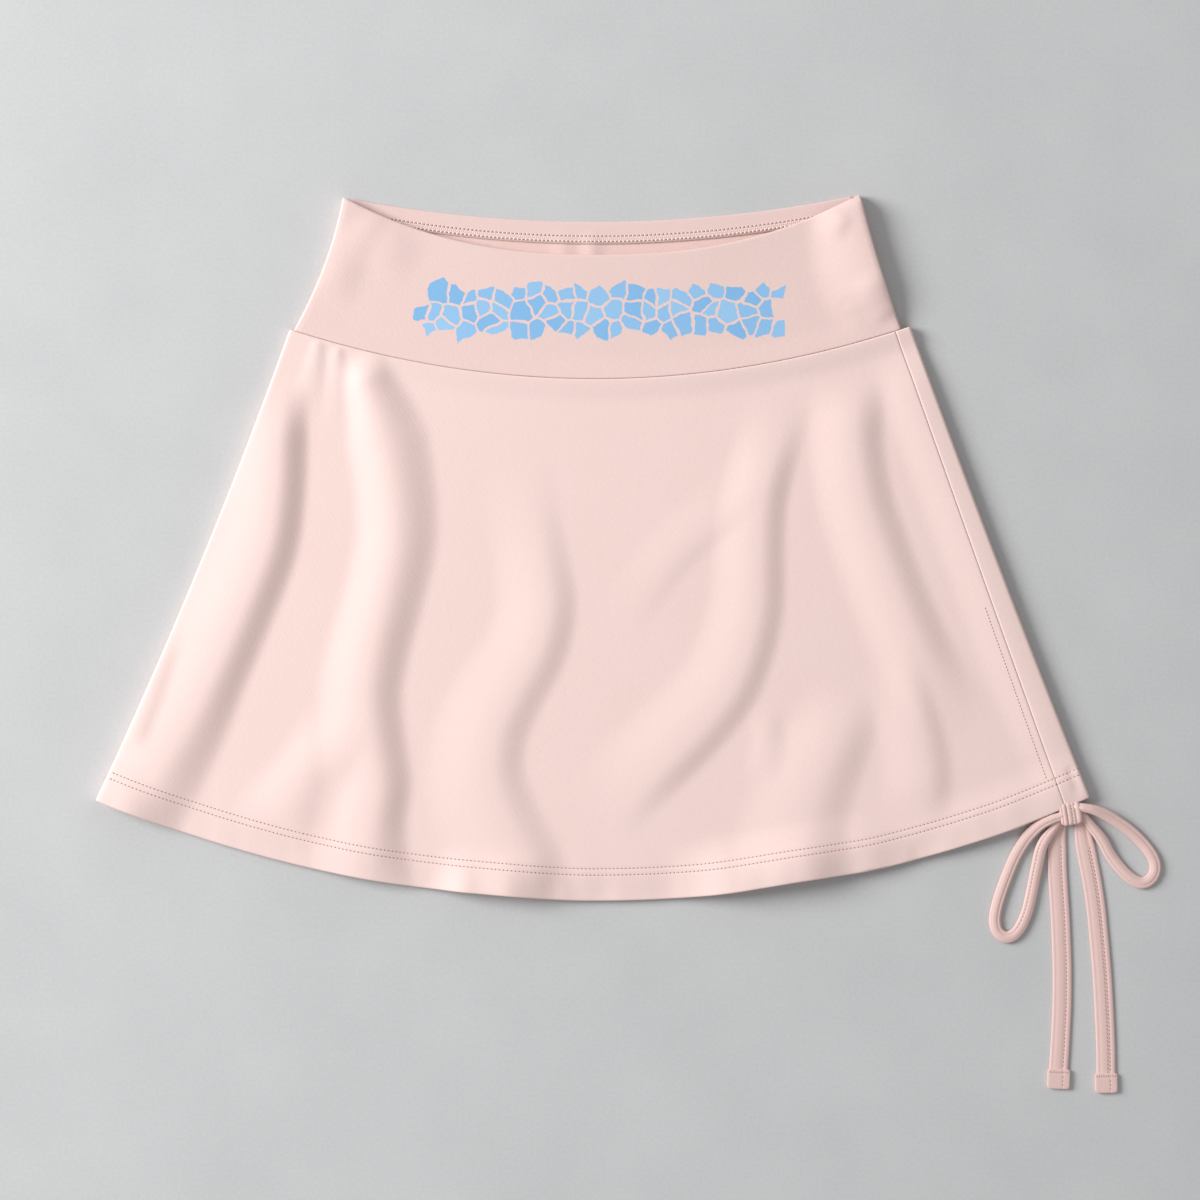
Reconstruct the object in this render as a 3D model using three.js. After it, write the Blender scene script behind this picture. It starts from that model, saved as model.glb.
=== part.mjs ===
// A pull-on skort laid flat on its back: an A-line skirt with a wide waistband, plain inner shorts,
// a drawcord casing up the right side and a fabric tie in a bow at the foot of the casing.
// Millimetres, +Z up, the waist towards +Y. The origin is the middle of the cloth's footprint,
// on the surface that the garment lies on.
import * as THREE from "three";

// Cloth and how closely its pieces lie
const SKIRT_WALL = 1.2;
const BAND_WALL = 2.0;
const SHORTS_WALL = 1.0;
const SEAM_GAP = 0.3;

// The edges that cross the garment, left to right. centre and half give the width, left and right
// the height of the two ends, and sag how far the middle hangs below them.
const WAIST_BACK = { centre: 5.4, half: 165.3, left: 223.8, right: 225.6, sag: 16.4, power: 2 };
const WAIST_FRONT = { centre: 5.4, half: 165.3, left: 223.8, right: 225.6, sag: 38.0, power: 2.35 };
const WAIST_SEAM = { centre: 4.5, half: 198.4, left: 139.2, right: 141.1, sag: 32.7, power: 2 };
const HEM = { centre: 0, half: 317.5, left: -161.6, right: -159.7, sag: 65.0, power: 2 };
const BAND_FOOT = { centre: 2.9, half: 194.3 };

// How far the sides curve in from a straight line, at mid height
const SKIRT_SIDE_BOW = { left: 4.2, right: 1.4 };
const BAND_SIDE_BOW = { left: 4.0, right: 1.4 };

// Where the front layers lie, measured to the outer face
const SKIRT_TOP = 5.3;
const BAND_TOP = 5.7;
const SIDE_ROLL = 6.5;
const SKIRT_BACK_INSET = 3.4;
const BAND_BACK_INSET = 5.4;
const MOUTH_LIFT = 2.2;
const MOUTH_LIFT_POWER = 2.2;
const SEAM_DIP = 1.0;
const SEAM_DIP_REACH = 34;

// The elastic's tunnel at the waist edge, and the hem's turned-up allowance
const TUNNEL_DEPTH = 14;
const TUNNEL_RISE = 0.6;
const HEM_DEPTH = 21.5;
const HEM_RISE = 0.8;
const BACK_HEM_DROP = 2.4;

// The drawcord casing is the strip between the side seam and the right edge
const CASING = { top: 10, hem: 16, power: 1.5 };

// Inner shorts, each half in two flat layers
const SHORTS = {
  centre: 3,
  waistHalf: 181,
  hipHalf: 208,
  hipHeight: -20,
  legHalf: 219,
  legOuter: -136,
  legInner: -150,
  legGap: 11,
  crotch: -74,
  waistDrop: 1,
  layers: { back: 1.5, front: 2.8 },
};

// Folds of the front panel. The crest runs along its points; left and right are how far the cloth
// takes to fall to each side as the crest goes down, one number or evenly spaced ones along it.
// fadeIn and fadeOut are the shares of the crest that rise and die away, and foot is the share of
// the height that is left at its end. The hem stands clear of the surface at its left corner, in
// the middle and at the right, and the drawcord inside lifts the casing.
const SKIRT_FOLDS = [
  { name: "left_outer", height: 5.2, left: [50, 60, 60], right: [18, 20, 23, 28],
    fadeIn: 0.15, fadeOut: 0.15, foot: 0.9,
    crest: [[-197, 112], [-199, 74], [-201, 36], [-207, 0], [-223, -40], [-240, -78], [-255, -108],
      [-276, -142], [-288, -160], [-295, -172]] },
  { name: "left_main", height: 5.4, left: [12, 27, 29, 31, 36, 40, 44], right: [16, 30, 28, 25, 23, 22, 28],
    fadeIn: 0.06, fadeOut: 0.1, foot: 0.7,
    crest: [[-151, 125], [-144, 104], [-135, 78], [-127, 40], [-125, 4], [-132, -34], [-139, -64],
      [-143, -94], [-140, -124], [-136, -150], [-139, -172], [-141, -192], [-140, -226]] },
  { name: "left_split", height: 3.0, left: [24, 26, 40], right: [22, 27, 38],
    fadeIn: 0.4, fadeOut: 0.3, foot: 0,
    crest: [[-157, -100], [-170, -128], [-183, -149], [-197, -174], [-204, -192]] },
  { name: "centre_wave", height: 3.3, left: [34, 34, 39, 48, 56], right: [18, 19, 20, 22, 26],
    fadeIn: 0.45, fadeOut: 0.1, foot: 0.8,
    crest: [[-41, 70], [-38, 26], [-32, -8], [-28, -38], [-35, -68], [-50, -95], [-61, -120], [-63, -146],
      [-55, -172], [-43, -198], [-33, -224]] },
  { name: "right_sweep", height: 3.3, left: [28, 31, 36, 42, 42], right: [16, 17, 18, 18, 18],
    fadeIn: 0.2, fadeOut: 0.25, foot: 0,
    crest: [[129, 98], [117, 62], [109, 30], [107, 0], [106, -38], [99, -68], [89, -92], [74, -112],
      [57, -130], [38, -148], [20, -167], [6, -186]] },
  { name: "sweep_branch", height: 0.8, left: 12, right: 13, fadeIn: 0.4, fadeOut: 0.4, foot: 0,
    crest: [[106, -98], [112, -124], [104, -154]] },
  { name: "right_outer", height: 3.9, left: [32, 34, 35], right: [20, 20, 22],
    fadeIn: 0.15, fadeOut: 0.3, foot: 0,
    crest: [[168, 112], [168, 66], [174, 30], [185, -2], [197, -34], [210, -64], [226, -92], [246, -118]] },
  { name: "right_lower", height: 2.3, left: [28, 34], right: [14, 18],
    fadeIn: 0.4, fadeOut: 0.3, foot: 0.2,
    crest: [[192, -66], [203, -96], [212, -126], [214, -152], [208, -180]] },
  { name: "right_hem", height: 3.2, left: [30, 42, 50], right: [20, 26, 36],
    fadeIn: 0.35, fadeOut: 0.1, foot: 0.8,
    crest: [[168, -84], [160, -116], [147, -146], [137, -174], [132, -200], [130, -222]] },
  { name: "casing_side", height: 2.4, left: 26, right: 30, fadeIn: 0.12, fadeOut: 0.15, foot: 0.5,
    crest: [[196, 134], [217, 74], [236, 24], [254, -24], [271, -70], [289, -112], [306, -150]] },
  { name: "left_edge", height: 2.0, left: 12, right: 11, fadeIn: 0.4, fadeOut: 0.2, foot: 0,
    crest: [[-266, -44], [-281, -88], [-297, -130]] },
  { name: "hip_crease", height: 0.9, left: 24, right: 14, fadeIn: 0.3, fadeOut: 0.5, foot: 0,
    crest: [[103, 44], [82, 20], [61, 2], [43, -18], [27, -40], [13, -62]] },
  { name: "hem_middle", height: 7.0, left: 20, right: 40, fadeIn: 0.35, fadeOut: 0.3, foot: 0.5,
    crest: [[50, -225], [82, -222], [112, -218], [142, -212], [170, -207]] },
  { name: "hem_right", height: 3.6, left: 20, right: 34, fadeIn: 0.5, fadeOut: 0.15, foot: 0.6,
    crest: [[190, -203], [225, -194], [260, -182], [290, -170], [312, -161]] },
  { name: "hem_left", height: 3.8, left: 20, right: 30, fadeIn: 0.1, fadeOut: 0.6, foot: 0,
    crest: [[-316, -162], [-302, -167], [-286, -174], [-262, -184]] },
  { name: "hem_wave", height: 4.6, left: 20, right: 34, fadeIn: 0.3, fadeOut: 0.4, foot: 0,
    crest: [[-84, -222], [-56, -225], [-30, -226], [-4, -227]] },
  { name: "gather_outer", height: 1.5, left: [5, 12, 16], right: [4, 9, 12],
    fadeIn: 0.04, fadeOut: 0.7, foot: 0,
    crest: [[-175, 132], [-179, 108], [-186, 76]] },
  { name: "gather_inner", height: 1.7, left: [5, 11, 14], right: [4, 9, 11],
    fadeIn: 0.04, fadeOut: 0.7, foot: 0,
    crest: [[-163, 128], [-163, 104], [-164, 72]] },
];

// Softer rolls of the waistband, in the same terms. Its right side stands up in a loop, and its
// left side is raised a little at the top corner.
const BAND_FOLDS = [
  { name: "left_rim", height: 4.0, left: 14, right: 14, fadeIn: 0.05, fadeOut: 0.6, foot: 0,
    crest: [[-160, 226], [-163, 206], [-168, 188]] },
  { name: "left_corner", height: 1.7, left: 26, right: 20, fadeIn: 0.3, fadeOut: 0.5, foot: 0,
    crest: [[-150, 215], [-133, 197], [-108, 180]] },
  { name: "left_side", height: 1.5, left: 16, right: 20, fadeIn: 0.4, fadeOut: 0.4, foot: 0,
    crest: [[-153, 209], [-161, 181], [-174, 153]] },
  { name: "right_side", height: 7.6, left: [36, 44, 40], right: 30, fadeIn: 0.1, fadeOut: 0.4, foot: 0.0,
    crest: [[170, 228], [176, 200], [184, 172], [198, 142]] },
  { name: "right_corner", height: 1.4, left: 14, right: 9, fadeIn: 0.2, fadeOut: 0.5, foot: 0,
    crest: [[160, 214], [150, 194]] },
  { name: "right_foot", height: 1.4, left: 15, right: 12, fadeIn: 0.4, fadeOut: 0.2, foot: 0,
    crest: [[171, 176], [182, 160], [192, 146]] },
];

// The tie: two loops and two tails out of one knot, and a folded end on each tail. The loops lie on
// the tails near the knot, and the knot lies on both tails.
const LOOP_SECTION = { width: 8.4, thickness: 2.6 };
const TAIL_SECTION = { width: 12.2, thickness: 1.8 };
const TIE_STEP = 0.95;
const KNOT = { width: 13.6, length: 13, height: 6.8, corner: 4 };
const KNOT_PLACE = { x: 306.0, y: -171.6, z: 2.2, turn: 0.3 };
const TIE_END = { width: 14.6, length: 12.6, height: 2.8, corner: 1.6 };
const TIE_END_PLACES = {
  left: { x: 297.8, y: -339.8, z: 0, turn: -0.04 },
  right: { x: 328.2, y: -342.4, z: 0, turn: 0.02 },
};
const TIE_ROUTES = {
  loop_left: [
    [298.0, -173.2, 6.5], [292.4, -174.6, 6.5], [284.9, -178.4, 5.6], [277.4, -185.8, 3.4], [270.1, -196.8, 1.9],
    [263.0, -210.9, 1.5], [257.6, -226.3, 1.5], [256.2, -237.7, 1.5], [258.7, -245.5, 1.5], [265.1, -249.3, 1.5],
    [272.2, -245.1, 1.5], [278.6, -233.4, 1.5], [282.9, -219.2, 1.7], [286.2, -203.5, 2.8], [290.0, -188.6, 3.6],
    [297.0, -178.0, 3.6],
  ],
  loop_right: [
    [315.4, -165.7, 6.5], [321.4, -166.2, 6.5], [329.2, -168.6, 5.2], [337.0, -173.2, 3.8], [345.5, -180.1, 2.6],
    [353.3, -188.0, 1.8], [358.8, -196.6, 1.5], [360.2, -205.0, 1.5], [357.4, -211.2, 1.5], [351.2, -213.5, 1.5],
    [344.0, -210.4, 1.5], [336.9, -202.6, 1.6], [330.2, -192.2, 2.2], [323.6, -181.6, 3.4], [316.8, -173.8, 3.6],
  ],
  tail_left: [
    [300.0, -173.0, 1.0], [298.0, -179.0, 1.0], [297.0, -186.0, 1.0], [296.8, -195.0, 1.0], [297.1, -206.0, 1.0],
    [297.8, -218.0, 1.0], [298.6, -230.0, 1.0], [299.3, -243.0, 1.0], [299.8, -256.0, 1.0], [300.2, -269.0, 1.0],
    [300.2, -282.0, 1.0], [300.0, -295.0, 1.0], [299.4, -308.0, 1.0], [298.7, -321.0, 1.0], [297.9, -333.2, 1.0],
  ],
  tail_right: [
    [312.0, -172.6, 1.0], [312.8, -179.5, 1.0], [314.2, -187.5, 1.0], [316.2, -197.5, 1.0], [318.4, -208.5, 1.0],
    [320.4, -220.0, 1.0], [322.0, -232.0, 1.0], [323.2, -244.0, 1.0], [324.4, -257.0, 1.0], [325.5, -270.0, 1.0],
    [326.4, -283.5, 1.0], [327.1, -297.0, 1.0], [327.7, -310.5, 1.0], [328.1, -323.5, 1.0], [328.2, -335.8, 1.0],
  ],
};

// Mesh fineness
const SKIRT_COLUMNS = 52;
const SKIRT_ROWS = 22;
const BAND_COLUMNS = 36;
const BAND_ROWS = 6;
const CASING_COLUMNS = 2;
const ROLL_STEPS = 3;
const OUTLINE_STEPS = 36;
const CREST_SAMPLES = 28;
const SECTION_SIDES = 10;

const mix = (a, b, share) => a + (b - a) * share;
const clamp01 = (value) => Math.min(1, Math.max(0, value));
const ease = (share) => share * share * (3 - 2 * share);

// Height of a crossing edge at a place from -1, its left end, to 1, its right end
function edgeHeight(edge, t) {
  const ends = mix(edge.left, edge.right, (t + 1) / 2);
  return ends - edge.sag * (1 - Math.abs(t) ** edge.power);
}

const edgePoint = (edge, t) => [edge.centre + edge.half * t, edgeHeight(edge, t)];
const heightAt = (edge, x) => edgeHeight(edge, (x - edge.centre) / edge.half);

function bandFootPoint(t) {
  const x = BAND_FOOT.centre + BAND_FOOT.half * t;
  return [x, heightAt(WAIST_SEAM, x) + SEAM_GAP];
}

// A place on a panel between its top and foot edges; v is 0 at the top and 1 at the foot
function planPoint(topPoint, footPoint, bow, t, v) {
  const [topX, topY] = topPoint(t);
  const [footX, footY] = footPoint(t);
  const inward = mix(bow.left, -bow.right, (t + 1) / 2) * 4 * v * (1 - v);
  return [mix(topX, footX, v) + inward, mix(topY, footY, v)];
}

const skirtPlan = (t, v) =>
  planPoint((s) => edgePoint(WAIST_SEAM, s), (s) => edgePoint(HEM, s), SKIRT_SIDE_BOW, t, v);
const bandPlan = (t, v) => planPoint((s) => edgePoint(WAIST_FRONT, s), bandFootPoint, BAND_SIDE_BOW, t, v);
const backBandPlan = (t, v) => planPoint((s) => edgePoint(WAIST_BACK, s), bandFootPoint, BAND_SIDE_BOW, t, v);

const skirtHalf = (v) => mix(WAIST_SEAM.half, HEM.half, v);
const bandHalf = (v) => mix(WAIST_FRONT.half, BAND_FOOT.half, v);
const casingWidth = (v) => mix(CASING.top, CASING.hem, v ** CASING.power);

// A fold's crest as a line of samples, each with its share of the crest's length
function prepareFold(fold) {
  const curve = new THREE.SplineCurve(fold.crest.map(([x, y]) => new THREE.Vector2(x, y)));
  return { ...fold, samples: curve.getSpacedPoints(CREST_SAMPLES) };
}

// A fold's width at a share of its crest, from one number or evenly spaced ones
function widthAlong(widths, place) {
  if (!Array.isArray(widths)) return widths;
  const at = place * (widths.length - 1);
  const first = Math.min(Math.floor(at), widths.length - 2);
  return mix(widths[first], widths[first + 1], at - first);
}

// How high a fold lifts the cloth at a place
function foldLift(fold, x, y) {
  let nearest = { distance: Infinity };
  for (let i = 0; i < fold.samples.length - 1; i++) {
    const a = fold.samples[i];
    const b = fold.samples[i + 1];
    const along = { x: b.x - a.x, y: b.y - a.y };
    const share = clamp01(((x - a.x) * along.x + (y - a.y) * along.y) / (along.x ** 2 + along.y ** 2));
    const dx = x - mix(a.x, b.x, share);
    const dy = y - mix(a.y, b.y, share);
    const distance = Math.hypot(dx, dy);
    if (distance < nearest.distance) {
      const side = along.x * dy - along.y * dx;
      nearest = { distance, side, place: (i + share) / (fold.samples.length - 1) };
    }
  }
  const spread = widthAlong(nearest.side < 0 ? fold.left : fold.right, nearest.place);
  const reach = nearest.distance / spread;
  if (reach >= 1) return 0;
  const rise = ease(clamp01(nearest.place / fold.fadeIn));
  const fall = mix(fold.foot, 1, ease(clamp01((1 - nearest.place) / fold.fadeOut)));
  return fold.height * rise * fall * (1 - reach * reach) ** 2;
}

const skirtFolds = SKIRT_FOLDS.map(prepareFold);
const bandFolds = BAND_FOLDS.map(prepareFold);
const liftAt = (folds, x, y) => folds.reduce((sum, fold) => sum + foldLift(fold, x, y), 0);

function skirtTop(x, y) {
  const belowSeam = heightAt(WAIST_SEAM, x) - y;
  const dip = SEAM_DIP * (1 - ease(clamp01(belowSeam / SEAM_DIP_REACH)));
  return SKIRT_TOP + SEAM_DIP - dip + liftAt(skirtFolds, x, y);
}

function bandTop(x, y, t, v) {
  const lift = MOUTH_LIFT * (1 - Math.abs(t) ** MOUTH_LIFT_POWER) * (1 - v) ** 2;
  return BAND_TOP + lift + liftAt(bandFolds, x, y);
}

// A closed wall from two grids of points, one for each face, and the rims between them.
// Columns run left to right and rows from the top down.
function wallGeometry(columns, rows, pointOf) {
  const corners = [];
  for (const face of ["outer", "inner"])
    for (let r = 0; r < rows; r++)
      for (let c = 0; c < columns; c++) corners.push(...pointOf(face, c, r));
  const outer = (c, r) => r * columns + c;
  const inner = (c, r) => columns * rows + outer(c, r);
  const triangles = [];
  const quad = (a, b, c, d) => triangles.push(a, b, c, a, c, d);
  for (let r = 0; r < rows - 1; r++)
    for (let c = 0; c < columns - 1; c++) {
      quad(outer(c, r), outer(c, r + 1), outer(c + 1, r + 1), outer(c + 1, r));
      quad(inner(c, r), inner(c + 1, r), inner(c + 1, r + 1), inner(c, r + 1));
    }
  const last = { c: columns - 1, r: rows - 1 };
  for (let r = 0; r < last.r; r++) {
    quad(outer(0, r + 1), outer(0, r), inner(0, r), inner(0, r + 1));
    quad(outer(last.c, r), outer(last.c, r + 1), inner(last.c, r + 1), inner(last.c, r));
  }
  for (let c = 0; c < last.c; c++) {
    quad(outer(c, 0), outer(c + 1, 0), inner(c + 1, 0), inner(c, 0));
    quad(outer(c + 1, last.r), outer(c, last.r), inner(c, last.r), inner(c + 1, last.r));
  }
  const geometry = new THREE.BufferGeometry();
  geometry.setAttribute("position", new THREE.Float32BufferAttribute(corners, 3));
  geometry.setIndex(triangles);
  geometry.computeVertexNormals();
  return geometry;
}

// Places across a panel: angles of a quarter turn up from the surface at each rolled side, and
// shares of the flat stretch between.
function crossStations({ leftRoll, rightRoll, steps }) {
  const stations = [];
  if (leftRoll)
    for (let k = 0; k < ROLL_STEPS; k++) stations.push({ side: "left", angle: (k / ROLL_STEPS) * (Math.PI / 2) });
  for (let k = 0; k <= steps; k++) stations.push({ side: "flat", share: k / steps });
  if (rightRoll)
    for (let k = ROLL_STEPS - 1; k >= 0; k--)
      stations.push({ side: "right", angle: (k / ROLL_STEPS) * (Math.PI / 2) });
  return stations;
}

// The wall of a front piece. Its plan, its top face and its wall's thickness come from the caller;
// start and end are the t values where the flat stretch begins and ends at each v.
function frontWall({ stations, rows, plan, half, top, thickness, start, end }) {
  return wallGeometry(stations.length, rows.length, (face, c, r) => {
    const v = rows[r];
    const station = stations[c];
    const wall = thickness(v);
    if (station.side === "flat") {
      const t = mix(start(v), end(v), station.share);
      const [x, y] = plan(t, v);
      return [x, y, top(x, y, t, v) - (face === "inner" ? wall : 0)];
    }
    const sign = station.side === "left" ? -1 : 1;
    const shell = face === "inner" ? wall : 0;
    const rim = sign * (1 - SIDE_ROLL / half(v));
    const [rimX, rimY] = plan(rim, v);
    const height = top(rimX, rimY, rim, v) - shell;
    const inset = shell + (SIDE_ROLL - shell) * (1 - Math.cos(station.angle));
    const [x, y] = plan(sign * (1 - inset / half(v)), v);
    return [x, y, height * Math.sin(station.angle)];
  });
}

const evenRows = (count) => Array.from({ length: count + 1 }, (_, k) => k / count);
const rollEdge = (sign, half) => (v) => sign * (1 - SIDE_ROLL / half(v));

// Rows of the skirt, with a close pair where the hem's allowance ends inside
function skirtRows() {
  const length = edgeHeight(WAIST_SEAM, 0) - edgeHeight(HEM, 0);
  const hemLine = 1 - HEM_DEPTH / length;
  const step = SEAM_GAP / length;
  return [...evenRows(SKIRT_ROWS).map((share) => share * hemLine), hemLine + step, 1];
}

const hemLineOf = (rows) => rows[rows.length - 3];
const skirtThickness = (rows) => (v) => SKIRT_WALL + (v > hemLineOf(rows) ? HEM_RISE : 0);

function skirtFront() {
  const rows = skirtRows();
  return frontWall({
    stations: crossStations({ leftRoll: true, rightRoll: false, steps: SKIRT_COLUMNS }),
    rows,
    plan: skirtPlan,
    half: skirtHalf,
    top: skirtTop,
    thickness: skirtThickness(rows),
    start: rollEdge(-1, skirtHalf),
    end: (v) => 1 - (casingWidth(v) + SEAM_GAP / 2) / skirtHalf(v),
  });
}

function sideCasing() {
  const rows = skirtRows();
  return frontWall({
    stations: crossStations({ leftRoll: false, rightRoll: true, steps: CASING_COLUMNS }),
    rows,
    plan: skirtPlan,
    half: skirtHalf,
    top: skirtTop,
    thickness: skirtThickness(rows),
    start: (v) => 1 - (casingWidth(v) - SEAM_GAP / 2) / skirtHalf(v),
    end: rollEdge(1, skirtHalf),
  });
}

// Rows of a waistband panel, with a close pair where the elastic's tunnel ends
function bandRows(topEdge) {
  const length = edgeHeight(topEdge, 0) - edgeHeight(WAIST_SEAM, 0);
  const tunnel = TUNNEL_DEPTH / length;
  const step = SEAM_GAP / length;
  return [0, tunnel, ...evenRows(BAND_ROWS).map((share) => mix(tunnel + step, 1, share))];
}

function waistbandFront() {
  const rows = bandRows(WAIST_FRONT);
  return frontWall({
    stations: crossStations({ leftRoll: true, rightRoll: true, steps: BAND_COLUMNS }),
    rows,
    plan: bandPlan,
    half: bandHalf,
    top: bandTop,
    thickness: (v) => BAND_WALL + (v <= rows[1] ? TUNNEL_RISE : 0),
    start: rollEdge(-1, bandHalf),
    end: rollEdge(1, bandHalf),
  });
}

// The back waistband lies flat inside the front one's rolled sides
function waistbandBack() {
  const rows = bandRows(WAIST_BACK);
  return wallGeometry(BAND_COLUMNS + 1, rows.length, (face, c, r) => {
    const v = rows[r];
    const reach = 1 - BAND_BACK_INSET / bandHalf(v);
    const [x, y] = backBandPlan(mix(-reach, reach, c / BAND_COLUMNS), v);
    const top = BAND_WALL + (v <= rows[1] ? TUNNEL_RISE : 0);
    return [x, y, face === "outer" ? top : 0];
  });
}

// A flat layer of cloth cut to an outline
function flatLayer(outline, bottom, thickness) {
  const shape = new THREE.Shape(outline.map(([x, y]) => new THREE.Vector2(x, y)));
  const geometry = new THREE.ExtrudeGeometry(shape, { depth: thickness, bevelEnabled: false });
  return geometry.translate(0, 0, bottom);
}

const across = (count) => evenRows(count).map((share) => mix(-1, 1, share));

// The back panel shows a little below the front hem near both ends
function skirtBack() {
  const reach = (v) => 1 - SKIRT_BACK_INSET / skirtHalf(v);
  const top = across(OUTLINE_STEPS).map((t) => {
    const [x, y] = skirtPlan(t * reach(0), 0);
    return [x, y - SEAM_GAP / 2];
  });
  const right = evenRows(OUTLINE_STEPS / 3).slice(1, -1).map((v) => skirtPlan(reach(v), v));
  const hem = across(OUTLINE_STEPS).map((t) => {
    const [x, y] = skirtPlan(t * reach(1), 1);
    return [x, y - BACK_HEM_DROP * t * t * (1 - t * t) * 4];
  });
  const left = evenRows(OUTLINE_STEPS / 3).slice(1, -1).map((v) => skirtPlan(-reach(v), v));
  return flatLayer([...top, ...right, ...hem.reverse(), ...left.reverse()], 0, SKIRT_WALL);
}

// One half of the shorts in one layer: side is -1 for the left half and 1 for the right
function shortsPanel(side, bottom) {
  const place = (out, y) => [SHORTS.centre + side * out, y];
  const waist = evenRows(OUTLINE_STEPS / 3).map((share) => {
    const [x] = place(mix(SEAM_GAP / 2, SHORTS.waistHalf, share), 0);
    return [x, heightAt(WAIST_SEAM, x) - SHORTS.waistDrop];
  });
  const [, waistCorner] = waist[waist.length - 1];
  const outseam = new THREE.QuadraticBezierCurve(
    new THREE.Vector2(SHORTS.waistHalf, waistCorner),
    new THREE.Vector2(SHORTS.hipHalf, SHORTS.hipHeight),
    new THREE.Vector2(SHORTS.legHalf, SHORTS.legOuter),
  );
  const outer = outseam.getPoints(OUTLINE_STEPS / 4).slice(1).map((p) => place(p.x, p.y));
  const leg = [place(SHORTS.legGap, SHORTS.legInner), place(SEAM_GAP / 2, SHORTS.crotch)];
  return flatLayer([...waist, ...outer, ...leg], bottom, SHORTS_WALL);
}

// The oval section of the tie, and a stretch of it along its route
function tieSection({ width, thickness }) {
  const oval = new THREE.EllipseCurve(0, 0, thickness / 2, width / 2);
  return new THREE.Shape(oval.getPoints(SECTION_SIDES).slice(0, -1));
}

function tieStretch(section, route) {
  const curve = new THREE.CatmullRomCurve3(route.map((p) => new THREE.Vector3(...p)));
  const steps = Math.round(curve.getLength() / (section.width * TIE_STEP));
  return new THREE.ExtrudeGeometry(tieSection(section), { steps, extrudePath: curve, bevelEnabled: false });
}

// A rounded tab lying flat, centred on its own origin
function roundedTab({ width, length, height, corner }) {
  const [w, l] = [width / 2, length / 2];
  const shape = new THREE.Shape();
  shape.moveTo(-w + corner, -l);
  shape.lineTo(w - corner, -l);
  shape.absarc(w - corner, -l + corner, corner, -Math.PI / 2, 0);
  shape.absarc(w - corner, l - corner, corner, 0, Math.PI / 2);
  shape.absarc(-w + corner, l - corner, corner, Math.PI / 2, Math.PI);
  shape.absarc(-w + corner, -l + corner, corner, Math.PI, Math.PI * 1.5);
  return new THREE.ExtrudeGeometry(shape, { depth: height, bevelEnabled: false, curveSegments: 5 });
}

const clothPink = new THREE.MeshStandardMaterial({ color: "#f3dad5", roughness: 0.82, metalness: 0 });
const shortsPink = new THREE.MeshStandardMaterial({ color: "#eed3ce", roughness: 0.86, metalness: 0 });
const tiePink = new THREE.MeshStandardMaterial({ color: "#efd2cd", roughness: 0.7, metalness: 0 });

function piece(name, geometry, material) {
  const mesh = new THREE.Mesh(geometry, material.clone());
  mesh.name = name;
  return mesh;
}

function placedTab(name, size, { x, y, z, turn }) {
  const mesh = piece(name, roundedTab(size), tiePink);
  mesh.position.set(x, y, z);
  mesh.rotation.z = turn;
  return mesh;
}

function skirtGroup() {
  const group = new THREE.Group();
  group.add(piece("skirt_front", skirtFront(), clothPink));
  group.add(piece("skirt_back", skirtBack(), clothPink));
  group.add(piece("side_casing", sideCasing(), clothPink));
  return group;
}

function waistbandGroup() {
  const group = new THREE.Group();
  group.add(piece("waistband_front", waistbandFront(), clothPink));
  group.add(piece("waistband_back", waistbandBack(), clothPink));
  return group;
}

function shortsGroup() {
  const group = new THREE.Group();
  for (const [layer, bottom] of Object.entries(SHORTS.layers)) {
    group.add(piece(`shorts_${layer}_left`, shortsPanel(-1, bottom), shortsPink));
    group.add(piece(`shorts_${layer}_right`, shortsPanel(1, bottom), shortsPink));
  }
  return group;
}

function tieGroup() {
  const group = new THREE.Group();
  for (const [name, route] of Object.entries(TIE_ROUTES)) {
    const section = name.startsWith("loop") ? LOOP_SECTION : TAIL_SECTION;
    group.add(piece(`tie_${name}`, tieStretch(section, route), tiePink));
  }
  group.add(placedTab("tie_knot", KNOT, KNOT_PLACE));
  for (const [side, place] of Object.entries(TIE_END_PLACES))
    group.add(placedTab(`tie_end_${side}`, TIE_END, place));
  return group;
}

const skort = new THREE.Group();
skort.add(skirtGroup(), waistbandGroup(), shortsGroup(), tieGroup());

export default skort;
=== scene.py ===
# %% [markdown]
# A pull-on skort lies flat on a pale surface and is seen from straight above. The frame that is
# loaded first holds plain solids of every piece at real size. This lesson dresses them: sheets
# of knit with soft folds, turned-up hems, rows of stitches, a printed band and a fabric tie.

# %% Load the frame
import math

import bmesh
import bpy
import numpy as np
from mathutils import Matrix, Vector, noise


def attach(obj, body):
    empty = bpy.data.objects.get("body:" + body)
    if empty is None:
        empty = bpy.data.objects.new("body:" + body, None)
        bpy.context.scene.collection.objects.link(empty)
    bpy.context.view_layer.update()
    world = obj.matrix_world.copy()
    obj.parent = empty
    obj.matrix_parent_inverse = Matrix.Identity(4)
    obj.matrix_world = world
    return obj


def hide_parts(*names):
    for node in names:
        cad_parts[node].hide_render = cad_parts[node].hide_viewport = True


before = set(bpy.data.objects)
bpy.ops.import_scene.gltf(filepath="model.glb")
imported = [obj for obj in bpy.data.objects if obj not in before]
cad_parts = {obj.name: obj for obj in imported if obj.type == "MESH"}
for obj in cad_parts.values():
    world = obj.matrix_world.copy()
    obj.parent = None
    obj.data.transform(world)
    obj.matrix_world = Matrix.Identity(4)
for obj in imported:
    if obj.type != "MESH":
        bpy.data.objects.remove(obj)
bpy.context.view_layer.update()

# %% [markdown]
# Sizes are easiest to read in millimetres, as a pattern cutter writes them, and Blender's unit
# is the metre. So the tables and functions below hold millimetres, and each piece is scaled by
# MM once, when its vertices are placed.

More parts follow.
